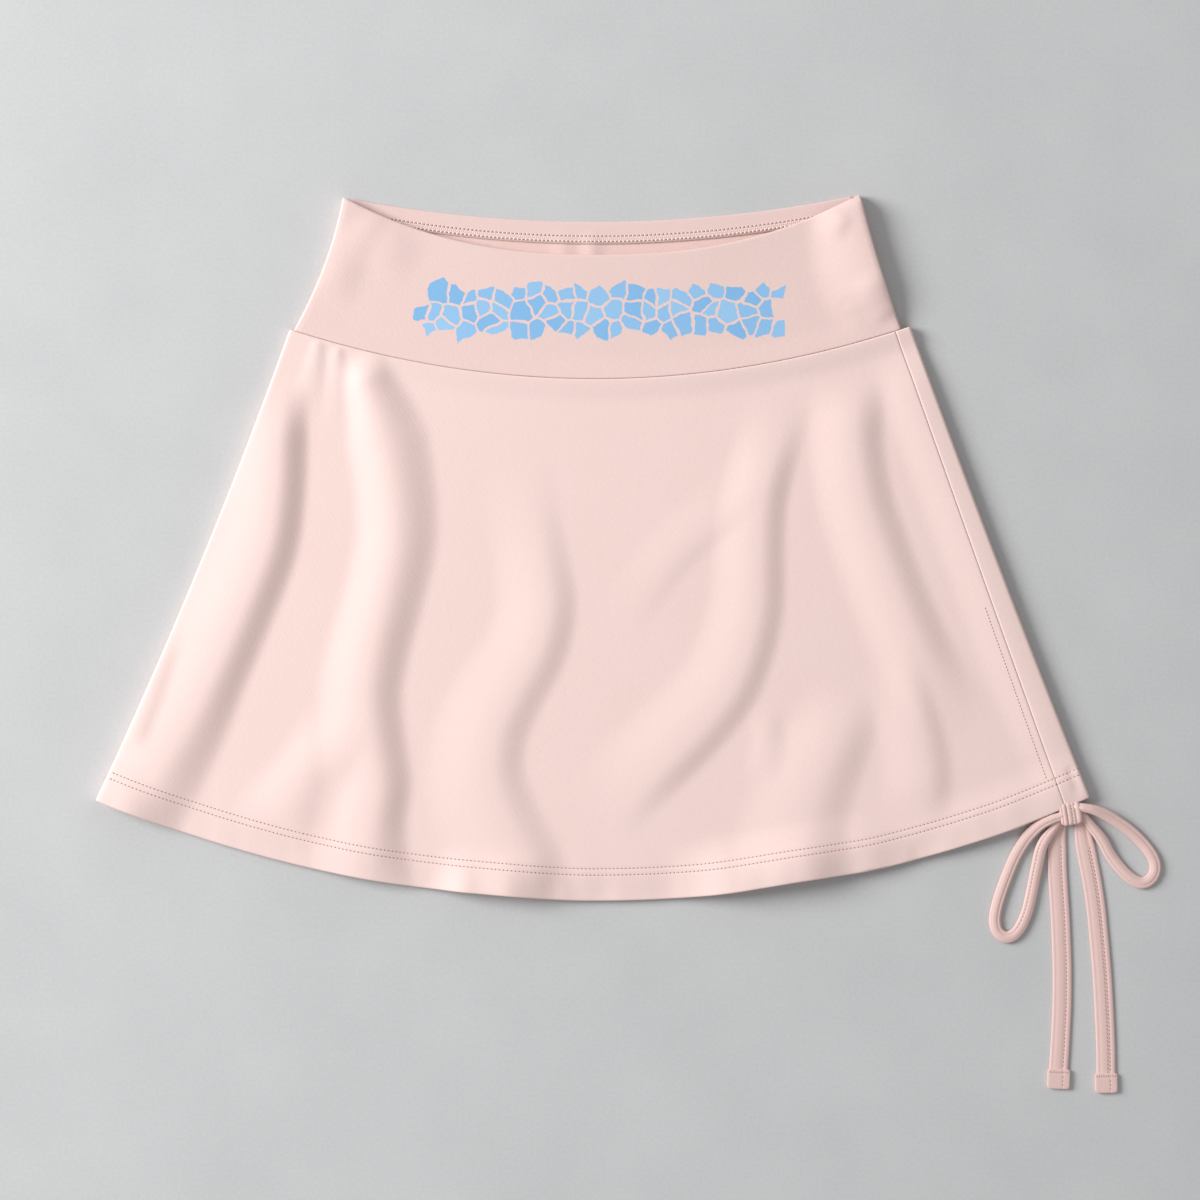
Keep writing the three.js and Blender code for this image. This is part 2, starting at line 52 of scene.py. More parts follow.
# %% Sizes of the cloth
MM = 0.001
KNIT = 0.8
SEAM_GAP = 0.04
SKIRT_TOP = 6.0
BAND_TOP = 6.0
SIDE_ROLL = 1.7
SIDE_TURN = 2.9
SEAM_RISE = {"skirt": 2.0, "band": 1.0, "reach": 16}
HEM_FALL = {"height": 1.3, "reach": 20}
MOUTH_LIFT = 2.2
MOUTH_LIFT_POWER = 2.2
BACK_HEM_DROP = 2.4
SKIRT_BACK_INSET = 3.4
BAND_BACK_INSET = 5.4
CASING = {"top": 10, "hem": 16, "power": 1.5}
SKIRT_SIDE_BOW = {"left": 4.2, "right": 1.4}
BAND_SIDE_BOW = {"left": 4.0, "right": 1.4}

# The edges that cross the garment. centre and half give the width, left and right the height of
# the ends, and sag how far the middle hangs below them.
WAIST_BACK = {"centre": 5.4, "half": 165.3, "left": 223.8, "right": 225.6, "sag": 16.4, "power": 2}
WAIST_FRONT = {"centre": 5.4, "half": 165.3, "left": 223.8, "right": 225.6, "sag": 38.0, "power": 2.35}
WAIST_SEAM = {"centre": 4.5, "half": 198.4, "left": 139.2, "right": 141.1, "sag": 32.7, "power": 2}
HEM = {"centre": 0, "half": 317.5, "left": -161.6, "right": -159.7, "sag": 65.0, "power": 2}
HEM_WAVE = (0.4, 0.4, 0.3, 0.8, 1.6, -0.2, -0.5, 1.1, -1.9, -1.7, 0.2)
BAND_FOOT = {"centre": 2.9, "half": 194.3}

# %% [markdown]
# The camera stands above the surface like a copy stand's, with a long lens, so that the sides of
# the garment don't spread. An orthographic camera would also do, but a long lens keeps the faint
# perspective that a real photograph has.

# %% Camera
VIEW_WIDTH = 0.768
VIEW_CENTRE = (0.0045, -0.0336)
CAMERA_HEIGHT = 2.2
SENSOR = 36.0

camera_data = bpy.data.cameras.new("copy_stand_camera")
camera_data.sensor_width = SENSOR
camera_data.lens = SENSOR * CAMERA_HEIGHT / VIEW_WIDTH
camera = bpy.data.objects.new("copy_stand_camera", camera_data)
camera.location = (*VIEW_CENTRE, CAMERA_HEIGHT)
bpy.context.scene.collection.objects.link(camera)
bpy.context.scene.camera = camera
bpy.context.scene.view_settings.view_transform = "Standard"
print("lens", round(camera_data.lens, 1), "mm")

# %% [markdown]
# Materials are built from nodes. One function adds a node with its settings and links, and one
# turns the hex colours of a paint chart, which are sRGB, into the linear light that shaders use.

# %% Node helpers
def linear(hex_colour):
    channels = [int(hex_colour[i : i + 2], 16) / 255 for i in (1, 3, 5)]
    return [c / 12.92 if c <= 0.04045 else ((c + 0.055) / 1.055) ** 2.4 for c in channels] + [1.0]


def add_node(tree, kind, inputs=None, **settings):
    node = tree.nodes.new(kind)
    for key, value in settings.items():
        setattr(node, key, value)
    for socket, value in (inputs or {}).items():
        if isinstance(value, bpy.types.NodeSocket):
            tree.links.new(value, node.inputs[socket])
        else:
            node.inputs[socket].default_value = value
    return node


def new_material(name):
    material = bpy.data.materials.new(name)
    material.use_nodes = True
    material.node_tree.nodes.clear()
    return material, material.node_tree


# %% [markdown]
# The skirt is a brushed polyester and elastane interlock: a weft knit whose fine diagonal ribs
# hardly show, with a soft nap that lifts the light at grazing angles. Real ribs are about 0.5 mm
# apart, too fine for the render, so they are drawn at 1.3 mm. A noise stretched along the
# diagonal gives uneven ribs, where a wave texture would look printed. The sheen lobe is the nap.

# %% Knit
RIB_SPACING = 1.3
RIB_LENGTH = 5.0
RIB_ANGLE = math.radians(42)
NAP_GRAIN = 0.9
SHADE_PATCH = 55.0
BUMP_HEIGHT = 0.14


def knit_nodes(tree, light, dark, coordinates="UV"):
    place = add_node(tree, "ShaderNodeTexCoord")
    turned = add_node(
        tree,
        "ShaderNodeMapping",
        {
            "Vector": place.outputs[coordinates],
            "Rotation": (0, 0, RIB_ANGLE),
        },
    )
    stretched = add_node(
        tree,
        "ShaderNodeMapping",
        {
            "Vector": turned.outputs["Vector"],
            "Scale": (1 / (RIB_LENGTH * MM), 1 / (RIB_SPACING * MM), 1 / (RIB_SPACING * MM)),
        },
    )
    ribs = add_node(
        tree, "ShaderNodeTexNoise", {"Vector": stretched.outputs["Vector"], "Scale": 1.0, "Detail": 1.0}
    )
    nap = add_node(
        tree,
        "ShaderNodeTexNoise",
        {"Vector": place.outputs[coordinates], "Scale": 1 / (NAP_GRAIN * MM), "Detail": 2.0},
    )
    patches = add_node(
        tree,
        "ShaderNodeTexNoise",
        {"Vector": place.outputs[coordinates], "Scale": 1 / (SHADE_PATCH * MM), "Detail": 2.0},
    )
    grain = add_node(
        tree, "ShaderNodeMath", {0: ribs.outputs["Fac"], 1: nap.outputs["Fac"]}, operation="ADD"
    )
    tone = add_node(
        tree,
        "ShaderNodeMath",
        {0: grain.outputs["Value"], 1: 0.5, 2: -0.3},
        operation="MULTIPLY_ADD",
    )
    uneven = add_node(
        tree,
        "ShaderNodeMath",
        {0: patches.outputs["Fac"], 1: 0.35, 2: tone.outputs["Value"]},
        operation="MULTIPLY_ADD",
    )
    colour = add_node(
        tree,
        "ShaderNodeMix",
        {0: uneven.outputs["Value"], 6: linear(light), 7: linear(dark)},
        data_type="RGBA",
    )
    bump = add_node(
        tree,
        "ShaderNodeBump",
        {"Height": grain.outputs["Value"], "Strength": 0.6, "Distance": BUMP_HEIGHT * MM},
    )
    return colour.outputs[2], bump.outputs["Normal"]


def finish_cloth(tree, colour, normal, roughness, sheen):
    shader = add_node(
        tree,
        "ShaderNodeBsdfPrincipled",
        {
            "Base Color": colour,
            "Roughness": roughness,
            "IOR": 1.46,
            "Specular IOR Level": 0.3,
            "Sheen Weight": sheen,
            "Sheen Roughness": 0.45,
            "Sheen Tint": linear("#fff1ec"),
            "Normal": normal,
        },
    )
    add_node(tree, "ShaderNodeOutputMaterial", {"Surface": shader.outputs["BSDF"]})


def knit_material(name, light, dark, roughness=0.72, sheen=0.25, coordinates="UV"):
    material, tree = new_material(name)
    colour, normal = knit_nodes(tree, light, dark, coordinates)
    finish_cloth(tree, colour, normal, roughness, sheen)
    return material


# %% [markdown]
# The front waistband carries a rubbery screen print of pale blue pebbles. It is drawn as the
# cells of a Voronoi pattern with gaps between them. The places are bent a little by a noise, and
# only the cells whose centre lies inside the printed box are kept, so that the edge is ragged. Its ends
# are moved for each cell by that cell's own random number, so that they aren't straight either.

# %% Printed waistband
PRINT_BOX = {"x": (-103.0, 130.0), "y": (136.5, 168.5)}
PRINT_RAGGED = 18.0
PEBBLE_SIZE = 10.5
PEBBLE_GAP = 0.075
PEBBLE_BEND = 4.2
PRINT_BLUES = ("#a3d0f5", "#86bdec")


def one_if(tree, value, limit, operation="LESS_THAN"):
    return add_node(tree, "ShaderNodeMath", {0: value, 1: limit}, operation=operation).outputs["Value"]


def times(tree, a, b):
    return add_node(tree, "ShaderNodeMath", {0: a, 1: b}, operation="MULTIPLY").outputs["Value"]


def pebble_print(tree):
    """Where the print is, from 0 to 1, and how deep its blue is."""
    place = add_node(tree, "ShaderNodeTexCoord")
    bend = add_node(
        tree,
        "ShaderNodeTexNoise",
        {"Vector": place.outputs["Object"], "Scale": 1 / (PEBBLE_SIZE * 1.3 * MM), "Detail": 3.0},
    )
    centred = add_node(
        tree, "ShaderNodeVectorMath", {0: bend.outputs["Color"], 1: (0.5, 0.5, 0.5)}, operation="SUBTRACT"
    )
    moved = add_node(
        tree,
        "ShaderNodeVectorMath",
        {0: centred.outputs["Vector"], 1: (PEBBLE_BEND * MM * 2,) * 3, 2: place.outputs["Object"]},
        operation="MULTIPLY_ADD",
    )
    cell_scale = 1 / (PEBBLE_SIZE * MM)
    shared = {"Vector": moved.outputs["Vector"], "Scale": cell_scale, "Randomness": 0.85}
    cells = add_node(tree, "ShaderNodeTexVoronoi", shared, voronoi_dimensions="2D", feature="F1")
    edges = add_node(
        tree, "ShaderNodeTexVoronoi", shared, voronoi_dimensions="2D", feature="DISTANCE_TO_EDGE"
    )
    centre = add_node(tree, "ShaderNodeSeparateXYZ", {"Vector": cells.outputs["Position"]})
    chance = add_node(tree, "ShaderNodeSeparateColor", {"Color": cells.outputs["Color"]})
    along = add_node(
        tree,
        "ShaderNodeMath",
        {0: chance.outputs["Green"], 1: PRINT_RAGGED * MM, 2: centre.outputs["X"]},
        operation="MULTIPLY_ADD",
    )
    pebbles = one_if(tree, edges.outputs["Distance"], PEBBLE_GAP, "GREATER_THAN")
    for value, name in ((along.outputs["Value"], "x"), (centre.outputs["Y"], "y")):
        low, high = (limit * MM for limit in PRINT_BOX[name])
        pebbles = times(tree, pebbles, one_if(tree, value, high))
        pebbles = times(tree, pebbles, one_if(tree, value, low, "GREATER_THAN"))
    return pebbles, chance.outputs["Red"]


def printed_material(name, light, dark):
    material, tree = new_material(name)
    cloth, normal = knit_nodes(tree, light, dark, "UV")
    pebbles, depth = pebble_print(tree)
    blues = [linear(blue) for blue in PRINT_BLUES]
    ink = add_node(tree, "ShaderNodeMix", {0: depth, 6: blues[0], 7: blues[1]}, data_type="RGBA")
    colour = add_node(tree, "ShaderNodeMix", {0: pebbles, 6: cloth, 7: ink.outputs[2]}, data_type="RGBA")
    roughness = add_node(tree, "ShaderNodeMix", {0: pebbles, 2: 0.72, 3: 0.5})
    finish_cloth(tree, colour.outputs[2], normal, roughness.outputs[0], sheen=0.2)
    return material


printed_interlock = printed_material("printed_interlock_knit", "#f6d9d3", "#ecccc5")
brushed_interlock = knit_material("brushed_interlock_knit", "#fbe0da", "#f5d5ce")
interlock_inside = knit_material("interlock_knit_inside", "#f4d7d1", "#ebcbc4", roughness=0.8, sheen=0.15)
shorts_jersey = knit_material("stretch_jersey", "#efcfc9", "#e4c1ba", roughness=0.66)
tie_interlock = knit_material("tie_interlock_knit", "#f1d0c9", "#e6c2bb", roughness=0.62, sheen=0.3)
print("knits", [m.name for m in (brushed_interlock, interlock_inside, shorts_jersey, tie_interlock)])

# %% [markdown]
# Textured polyester sewing thread is coloured a shade deeper than the cloth as painted shade: it
# sinks into the cloth and sits in its own shadow. The needle holes between the stitches are darker
# dots of painted shade, and the tie's thread is painted nearly as dark, the shade of its ditches.

# %% Thread
def thread_material(name, colour, roughness):
    material, tree = new_material(name)
    place = add_node(tree, "ShaderNodeTexCoord")
    ply = add_node(
        tree, "ShaderNodeTexNoise", {"Vector": place.outputs["Object"], "Scale": 1 / (0.4 * MM)}
    )
    bump = add_node(
        tree, "ShaderNodeBump", {"Height": ply.outputs["Fac"], "Strength": 0.5, "Distance": 0.05 * MM}
    )
    shader = add_node(
        tree,
        "ShaderNodeBsdfPrincipled",
        {
            "Base Color": linear(colour),
            "Roughness": roughness,
            "Sheen Weight": 0.2,
            "Normal": bump.outputs["Normal"],
        },
    )
    add_node(tree, "ShaderNodeOutputMaterial", {"Surface": shader.outputs["BSDF"]})
    return material


# The hem thread's colour is the cloth's deepened by painted shade.
hem_thread_and_shade = thread_material("hem_thread_with_painted_shade", "#f3d3cc", 0.6)
pale_thread = thread_material("pale_polyester_thread", "#f8e3de", 0.55)
# Dark dots that paint the shade inside the needle holes.
needle_shadow = thread_material("needle_hole_shadow", "#a97b73", 0.9)
# The tie's thread is painted dark: painted shade of the ditches and dents that it sits in.
tie_thread_and_shade = thread_material("tie_thread_with_painted_shade", "#a4756c", 0.7)

# %% [markdown]
# The tie is a flat tube of the skirt's knit, turned and edge-stitched. It lies in two loops and
# two tails. A curve with a bevel would make a tube too, but its section couldn't carry the ditch
# of the stitching, so the section is a ring of vertices that is extruded from point to point of
# the route, and each new ring is turned to lie flat. Each point of a route is x, y and height.

# %% Tie sections and routes
LOOP_SECTION = {"width": 7.6, "thickness": 3.4, "bottom": 0.2, "side": 0.9, "crown": 0.8, "neck": 0.7,
                "pressed": 0.5}
TAIL_SECTION = {"width": 12.2, "thickness": 1.9, "bottom": 0.1, "side": 0.7, "crown": 0.55, "neck": 0.62,
                "pressed": 1.0}
NECK_REACH = 30.0
SECTION_POINTS = 44
RING_SPACING = 1.6

TIE_ROUTES = {
    "tie_loop_left": [
        (298.6, -171.6, 6.5), (292.4, -173.6, 6.5), (284.9, -177.6, 5.6), (277.5, -185.4, 3.4),
        (270.4, -197.2, 1.9), (264.0, -212.4, 1.5), (259.0, -227.0, 1.5), (257.0, -238.0, 1.5),
        (259.0, -245.9, 1.5), (265.1, -249.3, 1.5), (271.8, -245.1, 1.5), (277.4, -233.8, 1.5),
        (281.0, -219.1, 1.7), (283.8, -204.3, 2.8), (287.4, -189.8, 3.6), (295.6, -177.6, 3.6),
    ],
    "tie_loop_right": [
        (313.4, -166.2, 6.5), (318.6, -167.2, 6.5), (326.0, -170.0, 5.4), (334.4, -174.9, 4.0),
        (344.2, -181.8, 2.7), (352.8, -190.4, 1.8), (358.6, -199.2, 1.5), (359.6, -206.4, 1.5),
        (356.6, -212.2, 1.5), (350.9, -214.6, 1.5), (344.2, -211.6, 1.5), (337.4, -205.2, 1.6),
        (330.6, -196.2, 2.2), (324.8, -186.0, 3.2), (314.6, -173.4, 3.6),
    ],
    "tie_tail_left": [
        (300.0, -173.0, 1.0), (298.0, -179.0, 1.0), (297.0, -186.0, 1.0), (296.8, -195.0, 1.0),
        (297.1, -206.0, 1.0), (297.8, -218.0, 1.0), (298.6, -230.0, 1.0), (299.3, -243.0, 1.0),
        (299.8, -256.0, 1.0), (300.2, -269.0, 1.0), (300.2, -282.0, 1.0), (300.0, -295.0, 1.0),
        (299.4, -308.0, 1.0), (298.7, -321.0, 1.0), (297.9, -333.2, 1.0),
    ],
    "tie_tail_right": [
        (312.0, -172.6, 1.0), (312.8, -179.5, 1.0), (314.2, -187.5, 1.0), (316.2, -197.5, 1.0),
        (318.4, -208.5, 1.0), (320.4, -220.0, 1.0), (322.0, -232.0, 1.0), (323.2, -244.0, 1.0),
        (324.4, -257.0, 1.0), (325.5, -270.0, 1.0), (326.4, -283.5, 1.0), (327.1, -297.0, 1.0),
        (327.7, -310.5, 1.0), (328.1, -323.5, 1.0), (328.2, -335.8, 1.0),
    ],
}
KNOT_LEAD = 7.0
END_LEAD = 2.5


def smooth_line(points, spacing):
    """Evenly spaced points of the smooth curve through the given ones."""
    knots = np.array(points, dtype=float)
    ends = np.vstack([2 * knots[:1] - knots[1:2], knots, 2 * knots[-1:] - knots[-2:-1]])
    place = np.linspace(0, len(knots) - 1, 60 * len(knots))
    first = np.minimum(place.astype(int), len(knots) - 2)
    w = (place - first)[:, None]
    a, b, c, d = ends[first], ends[first + 1], ends[first + 2], ends[first + 3]
    into, out = (c - a) / 2, (d - b) / 2
    line = (2 * b - 2 * c + into + out) * w**3 + (3 * c - 3 * b - 2 * into - out) * w**2 + into * w + b
    along = np.concatenate([[0], np.cumsum(np.linalg.norm(np.diff(line, axis=0), axis=1))])
    wanted = np.linspace(0, along[-1], max(2, round(along[-1] / spacing) + 1))
    return np.stack([np.interp(wanted, along, line[:, k]) for k in range(line.shape[1])], axis=1)


def length_of(line):
    return float(np.linalg.norm(np.diff(line, axis=0), axis=1).sum())


def link(name, bm, materials, smooth=True):
    """Makes an object of a bmesh, lets it ride on the garment and frees the bmesh."""
    mesh = bpy.data.meshes.new(name)
    bm.to_mesh(mesh)
    bm.free()
    for material in materials:
        mesh.materials.append(material)
    mesh.polygons.foreach_set("use_smooth", [smooth] * len(mesh.polygons))
    piece = bpy.data.objects.new(name, mesh)
    bpy.context.scene.collection.objects.link(piece)
    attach(piece, "root")
    return piece


# %% Sweep the tie
STITCH_DITCH = {"place": 0.42, "width": 0.14, "depth": 0.8}
EDGE_DITCH = {"place": -0.62, "width": 0.1, "depth": 0.4}
BEND_PUCKER = {"height": 0.32, "length": 3.4, "bend": 0.05}


def ease(share):
    share = np.clip(share, 0, 1)
    return share * share * (3 - 2 * share)


def tube_ring(section, width_share, pucker):
    """The tie's section: x across, z up from its bottom. A ditch holds the stitches."""
    angle = np.linspace(0, 2 * math.pi, SECTION_POINTS, endpoint=False)
    across = np.sign(np.cos(angle)) * np.abs(np.cos(angle)) ** section["side"]
    up = np.sign(np.sin(angle)) * np.abs(np.sin(angle)) ** section["crown"]
    pressed = sum(
        d["depth"] * np.exp(-(((across - d["place"]) / d["width"]) ** 2)) for d in (STITCH_DITCH, EDGE_DITCH)
    )
    pressed = section["pressed"] * pressed + pucker * np.clip(across, 0, 1)
    rise = np.where(up > 0, 0.35 + 0.65 * up * (1 - 0.5 * pressed), 0.35 + 0.35 * up)
    thickness = section["thickness"] / (0.35 + 0.65 * width_share)
    return across * section["width"] * width_share / 2, rise * thickness


def led_on(route, before, after):
    """The route's smooth line with straight leads at its ends."""
    line = smooth_line(route, RING_SPACING)
    start = line[0] - (line[1] - line[0]) / np.linalg.norm(line[1] - line[0]) * before
    end = line[-1] + (line[-1] - line[-2]) / np.linalg.norm(line[-1] - line[-2]) * after
    return np.vstack([start, line, end])


def bend_along(line):
    """How sharply the line turns at each point, in radians for each millimetre."""
    ahead = np.diff(line[:, :2], axis=0)
    heading = np.unwrap(np.arctan2(ahead[:, 1], ahead[:, 0]))
    turn = np.abs(np.gradient(heading)) / RING_SPACING
    return np.append(turn, turn[-1])


def sweep(name, route, section, end_lead):
    line = led_on(route, KNOT_LEAD, end_lead)
    along = np.concatenate([[0], np.cumsum(np.linalg.norm(np.diff(line, axis=0), axis=1))])
    from_knot = np.minimum(along, along[-1] - along) if end_lead == KNOT_LEAD else along
    width_share = section["neck"] + (1 - section["neck"]) * ease(from_knot / NECK_REACH)
    wave = np.sin(2 * math.pi * along / BEND_PUCKER["length"])
    wrinkle = np.clip(bend_along(line) / BEND_PUCKER["bend"], 0, 1) * wave
    bm = bmesh.new()
    uv = bm.loops.layers.uv.new("UVMap")
    ring = [bm.verts.new((k, 0, 0)) for k in range(SECTION_POINTS)]
    edges = [bm.edges.new((ring[k], ring[(k + 1) % SECTION_POINTS])) for k in range(SECTION_POINTS)]
    start_cap = bm.faces.new(ring)
    number = {vertex: (0, k) for k, vertex in enumerate(ring)}
    rings = [ring]
    for step in range(1, len(line)):
        made = bmesh.ops.extrude_edge_only(bm, edges=edges)["geom"]
        edges = [g for g in made if isinstance(g, bmesh.types.BMEdge)]
        old = set(rings[-1])
        follow = {}
        for vertex in {v for g in edges for v in g.verts}:
            back = next(e.other_vert(vertex) for e in vertex.link_edges if e.other_vert(vertex) in old)
            follow[number[back][1]] = vertex
            number[vertex] = (step, number[back][1])
        rings.append([follow[k] for k in range(SECTION_POINTS)])
    end_cap = bm.faces.new(rings[-1])
    for step, ring in enumerate(rings):
        forward = Vector(line[min(step + 1, len(line) - 1)] - line[max(step - 1, 0)]).normalized()
        across = Vector((0, 0, 1)).cross(forward).normalized()
        up = forward.cross(across)
        sides, heights = tube_ring(section, width_share[step], BEND_PUCKER["height"] * wrinkle[step])
        foot = Vector(line[step]) - up * (section["thickness"] / 2)
        foot.z = max(foot.z, section["bottom"])
        for vertex, side, height in zip(ring, sides, heights):
            vertex.co = (foot + across * side + up * height) * MM
    for face in bm.faces:
        if face in (start_cap, end_cap):
            continue
        wraps = max(number[loop.vert][1] for loop in face.loops) == SECTION_POINTS - 1
        for loop in face.loops:
            step, k = number[loop.vert]
            k = k + SECTION_POINTS if wraps and k == 0 else k
            around = k / SECTION_POINTS * 2 * (section["width"] + section["thickness"])
            loop[uv].uv = (around * MM, along[step] * MM)
    bmesh.ops.recalc_face_normals(bm, faces=bm.faces)
    return link(name, bm, [tie_interlock]), line


tie_pieces = {}
tie_lines = {}
for node, route in TIE_ROUTES.items():
    section = LOOP_SECTION if "loop" in node else TAIL_SECTION
    end_lead = KNOT_LEAD if "loop" in node else END_LEAD
    tie_pieces[node], tie_lines[node] = sweep(f"{node}_tube", route, section, end_lead)
    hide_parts(node)
    print(node, round(length_of(tie_lines[node]), 1), "mm long")

# %% [markdown]
# The front panel's folds are soft ridges that run down from the waist. Each is a row of a table:
# its crest, how high it stands, and how far the cloth takes to fall on each side of it. A cloth
# simulation could find folds of its own, but not these ones, so they are listed one by one.

# %% Folds
SKIRT_FOLDS = [
    {"name": "left_outer", "height": 6.0, "left": (36, 44, 50), "right": (18, 20, 23, 36), "fade_in": 0.15,
     "fade_out": 0.15, "foot": 0.7,
     "crest": [(-197, 112), (-199, 74), (-201, 36), (-207, 0), (-223, -40), (-240, -78), (-255, -108),
               (-276, -142), (-288, -160), (-295, -172)]},
    {"name": "left_main", "height": 5.4, "left": (12, 27, 29, 31, 36, 40, 44), "right": (16, 30, 28, 25, 23, 22, 28),
     "fade_in": 0.06, "fade_out": 0.1, "foot": 0.7,
     "crest": [(-151, 125), (-144, 104), (-135, 78), (-127, 40), (-125, 4), (-132, -34), (-139, -64), (-143, -94),
               (-140, -124), (-136, -150), (-139, -172), (-141, -192), (-140, -226)]},
    {"name": "left_split", "height": 3.0, "left": (24, 26, 40), "right": (22, 27, 38), "fade_in": 0.4, "fade_out": 0.3,
     "foot": 0, "crest": [(-157, -100), (-170, -128), (-183, -149), (-197, -174), (-204, -192)]},
    {"name": "centre_wave", "height": 3.3, "left": (34, 34, 39, 48, 56), "right": (18, 19, 20, 22, 26),
     "fade_in": 0.45, "fade_out": 0.1, "foot": 0.8,
     "crest": [(-41, 70), (-38, 26), (-32, -8), (-28, -38), (-35, -68), (-50, -95), (-61, -120), (-63, -146),
               (-55, -172), (-43, -198), (-33, -224)]},
    {"name": "right_sweep", "height": 3.3, "left": (28, 31, 36, 42, 42), "right": (16, 17, 18, 18, 18),
     "fade_in": 0.2, "fade_out": 0.25, "foot": 0,
     "crest": [(129, 98), (117, 62), (109, 30), (107, 0), (106, -38), (99, -68), (89, -92), (74, -112),
               (57, -130), (38, -148), (20, -167), (6, -186)]},
    {"name": "sweep_branch", "height": 0.8, "left": 12, "right": 13, "fade_in": 0.4, "fade_out": 0.4, "foot": 0,
     "crest": [(106, -98), (112, -124), (104, -154)]},
    {"name": "right_outer", "height": 3.9, "left": (32, 34, 35), "right": (20, 20, 22), "fade_in": 0.15,
     "fade_out": 0.3, "foot": 0,
     "crest": [(168, 112), (168, 66), (174, 30), (185, -2), (197, -34), (210, -64), (226, -92), (246, -118)]},
    {"name": "right_lower", "height": 2.3, "left": (28, 34), "right": (14, 18), "fade_in": 0.4, "fade_out": 0.3,
     "foot": 0.2, "crest": [(192, -66), (203, -96), (212, -126), (214, -152), (208, -180)]},
    {"name": "right_hem", "height": 3.2, "left": (30, 42, 50), "right": (20, 26, 36), "fade_in": 0.35,
     "fade_out": 0.1, "foot": 0.8,
     "crest": [(168, -84), (160, -116), (147, -146), (137, -174), (132, -200), (130, -222)]},
    {"name": "casing_side", "height": 2.4, "left": 26, "right": 30, "fade_in": 0.12, "fade_out": 0.15, "foot": 0.5,
     "crest": [(196, 134), (217, 74), (236, 24), (254, -24), (271, -70), (289, -112), (306, -150)]},
    {"name": "left_edge", "height": 2.0, "left": 30, "right": 11, "fade_in": 0.4, "fade_out": 0.2, "foot": 0,
     "crest": [(-266, -44), (-281, -88), (-297, -130)]},
    {"name": "hip_crease", "height": 0.9, "left": 24, "right": 14, "fade_in": 0.3, "fade_out": 0.5, "foot": 0,
     "crest": [(103, 44), (82, 20), (61, 2), (43, -18), (27, -40), (13, -62)]},
    {"name": "hem_middle", "height": 8.6, "left": 20, "right": 40, "fade_in": 0.35, "fade_out": 0.3, "foot": 0.5,
     "crest": [(50, -225), (82, -222), (112, -218), (142, -212), (170, -207)]},
    {"name": "hem_right", "height": 3.6, "left": 20, "right": 34, "fade_in": 0.5, "fade_out": 0.15, "foot": 0.6,
     "crest": [(190, -203), (225, -194), (260, -182), (290, -170), (312, -161)]},
    {"name": "hem_left", "height": 3.8, "left": 20, "right": 30, "fade_in": 0.05, "fade_out": 0.6, "foot": 0,
     "crest": [(-332, -157), (-312, -163), (-290, -173), (-262, -184)]},
    {"name": "hem_wave", "height": 6.5, "left": 20, "right": 34, "fade_in": 0.3, "fade_out": 0.4, "foot": 0,
     "crest": [(-106, -220), (-78, -223), (-50, -225), (-22, -226)]},
    {"name": "casing_crease", "height": -0.7, "left": 3.5, "right": 5.0, "fade_in": 0.2, "fade_out": 0.3, "foot": 0,
     "crest": [(303, -138), (306, -148), (311, -159)]},
    {"name": "gather_outer", "height": 0.8, "left": (5, 12, 16), "right": (4, 11, 14), "fade_in": 0.04,
     "fade_out": 0.7, "foot": 0, "crest": [(-175, 132), (-179, 108), (-186, 76)]},
    {"name": "gather_inner", "height": 0.9, "left": (5, 11, 14), "right": (4, 11, 14), "fade_in": 0.04,
     "fade_out": 0.7, "foot": 0, "crest": [(-163, 128), (-163, 104), (-164, 72)]},
]

BAND_FOLDS = [
    {"name": "left_rim", "height": 2.8, "left": 20, "right": 30, "fade_in": 0.05, "fade_out": 0.8, "foot": 0,
     "crest": [(-158, 227), (-160, 208), (-164, 186)]},
    {"name": "left_corner", "height": 1.7, "left": 26, "right": 20, "fade_in": 0.3, "fade_out": 0.5, "foot": 0,
     "crest": [(-150, 215), (-133, 197), (-108, 180)]},
    {"name": "left_side", "height": 1.5, "left": 16, "right": 20, "fade_in": 0.4, "fade_out": 0.4, "foot": 0,
     "crest": [(-153, 209), (-161, 181), (-174, 153)]},
    {"name": "right_side", "height": 7.6, "left": (36, 44, 40), "right": 30, "fade_in": 0.1, "fade_out": 0.4,
     "foot": 0.0, "crest": [(170, 228), (176, 200), (184, 172), (198, 142)]},
    {"name": "right_corner", "height": 1.4, "left": 14, "right": 9, "fade_in": 0.2, "fade_out": 0.5, "foot": 0,
     "crest": [(160, 214), (150, 194)]},
    {"name": "right_foot", "height": 1.4, "left": 15, "right": 12, "fade_in": 0.4, "fade_out": 0.2, "foot": 0,
     "crest": [(171, 176), (182, 160), (192, 146)]},
]
CREST_SPACING = 8


def mix(a, b, share):
    return a + (b - a) * share


def width_along(widths, place):
    """A fold's width at each place along its crest, from one number or evenly spaced ones."""
    widths = np.atleast_1d(widths)
    return np.interp(place, np.linspace(0, 1, len(widths)), widths)


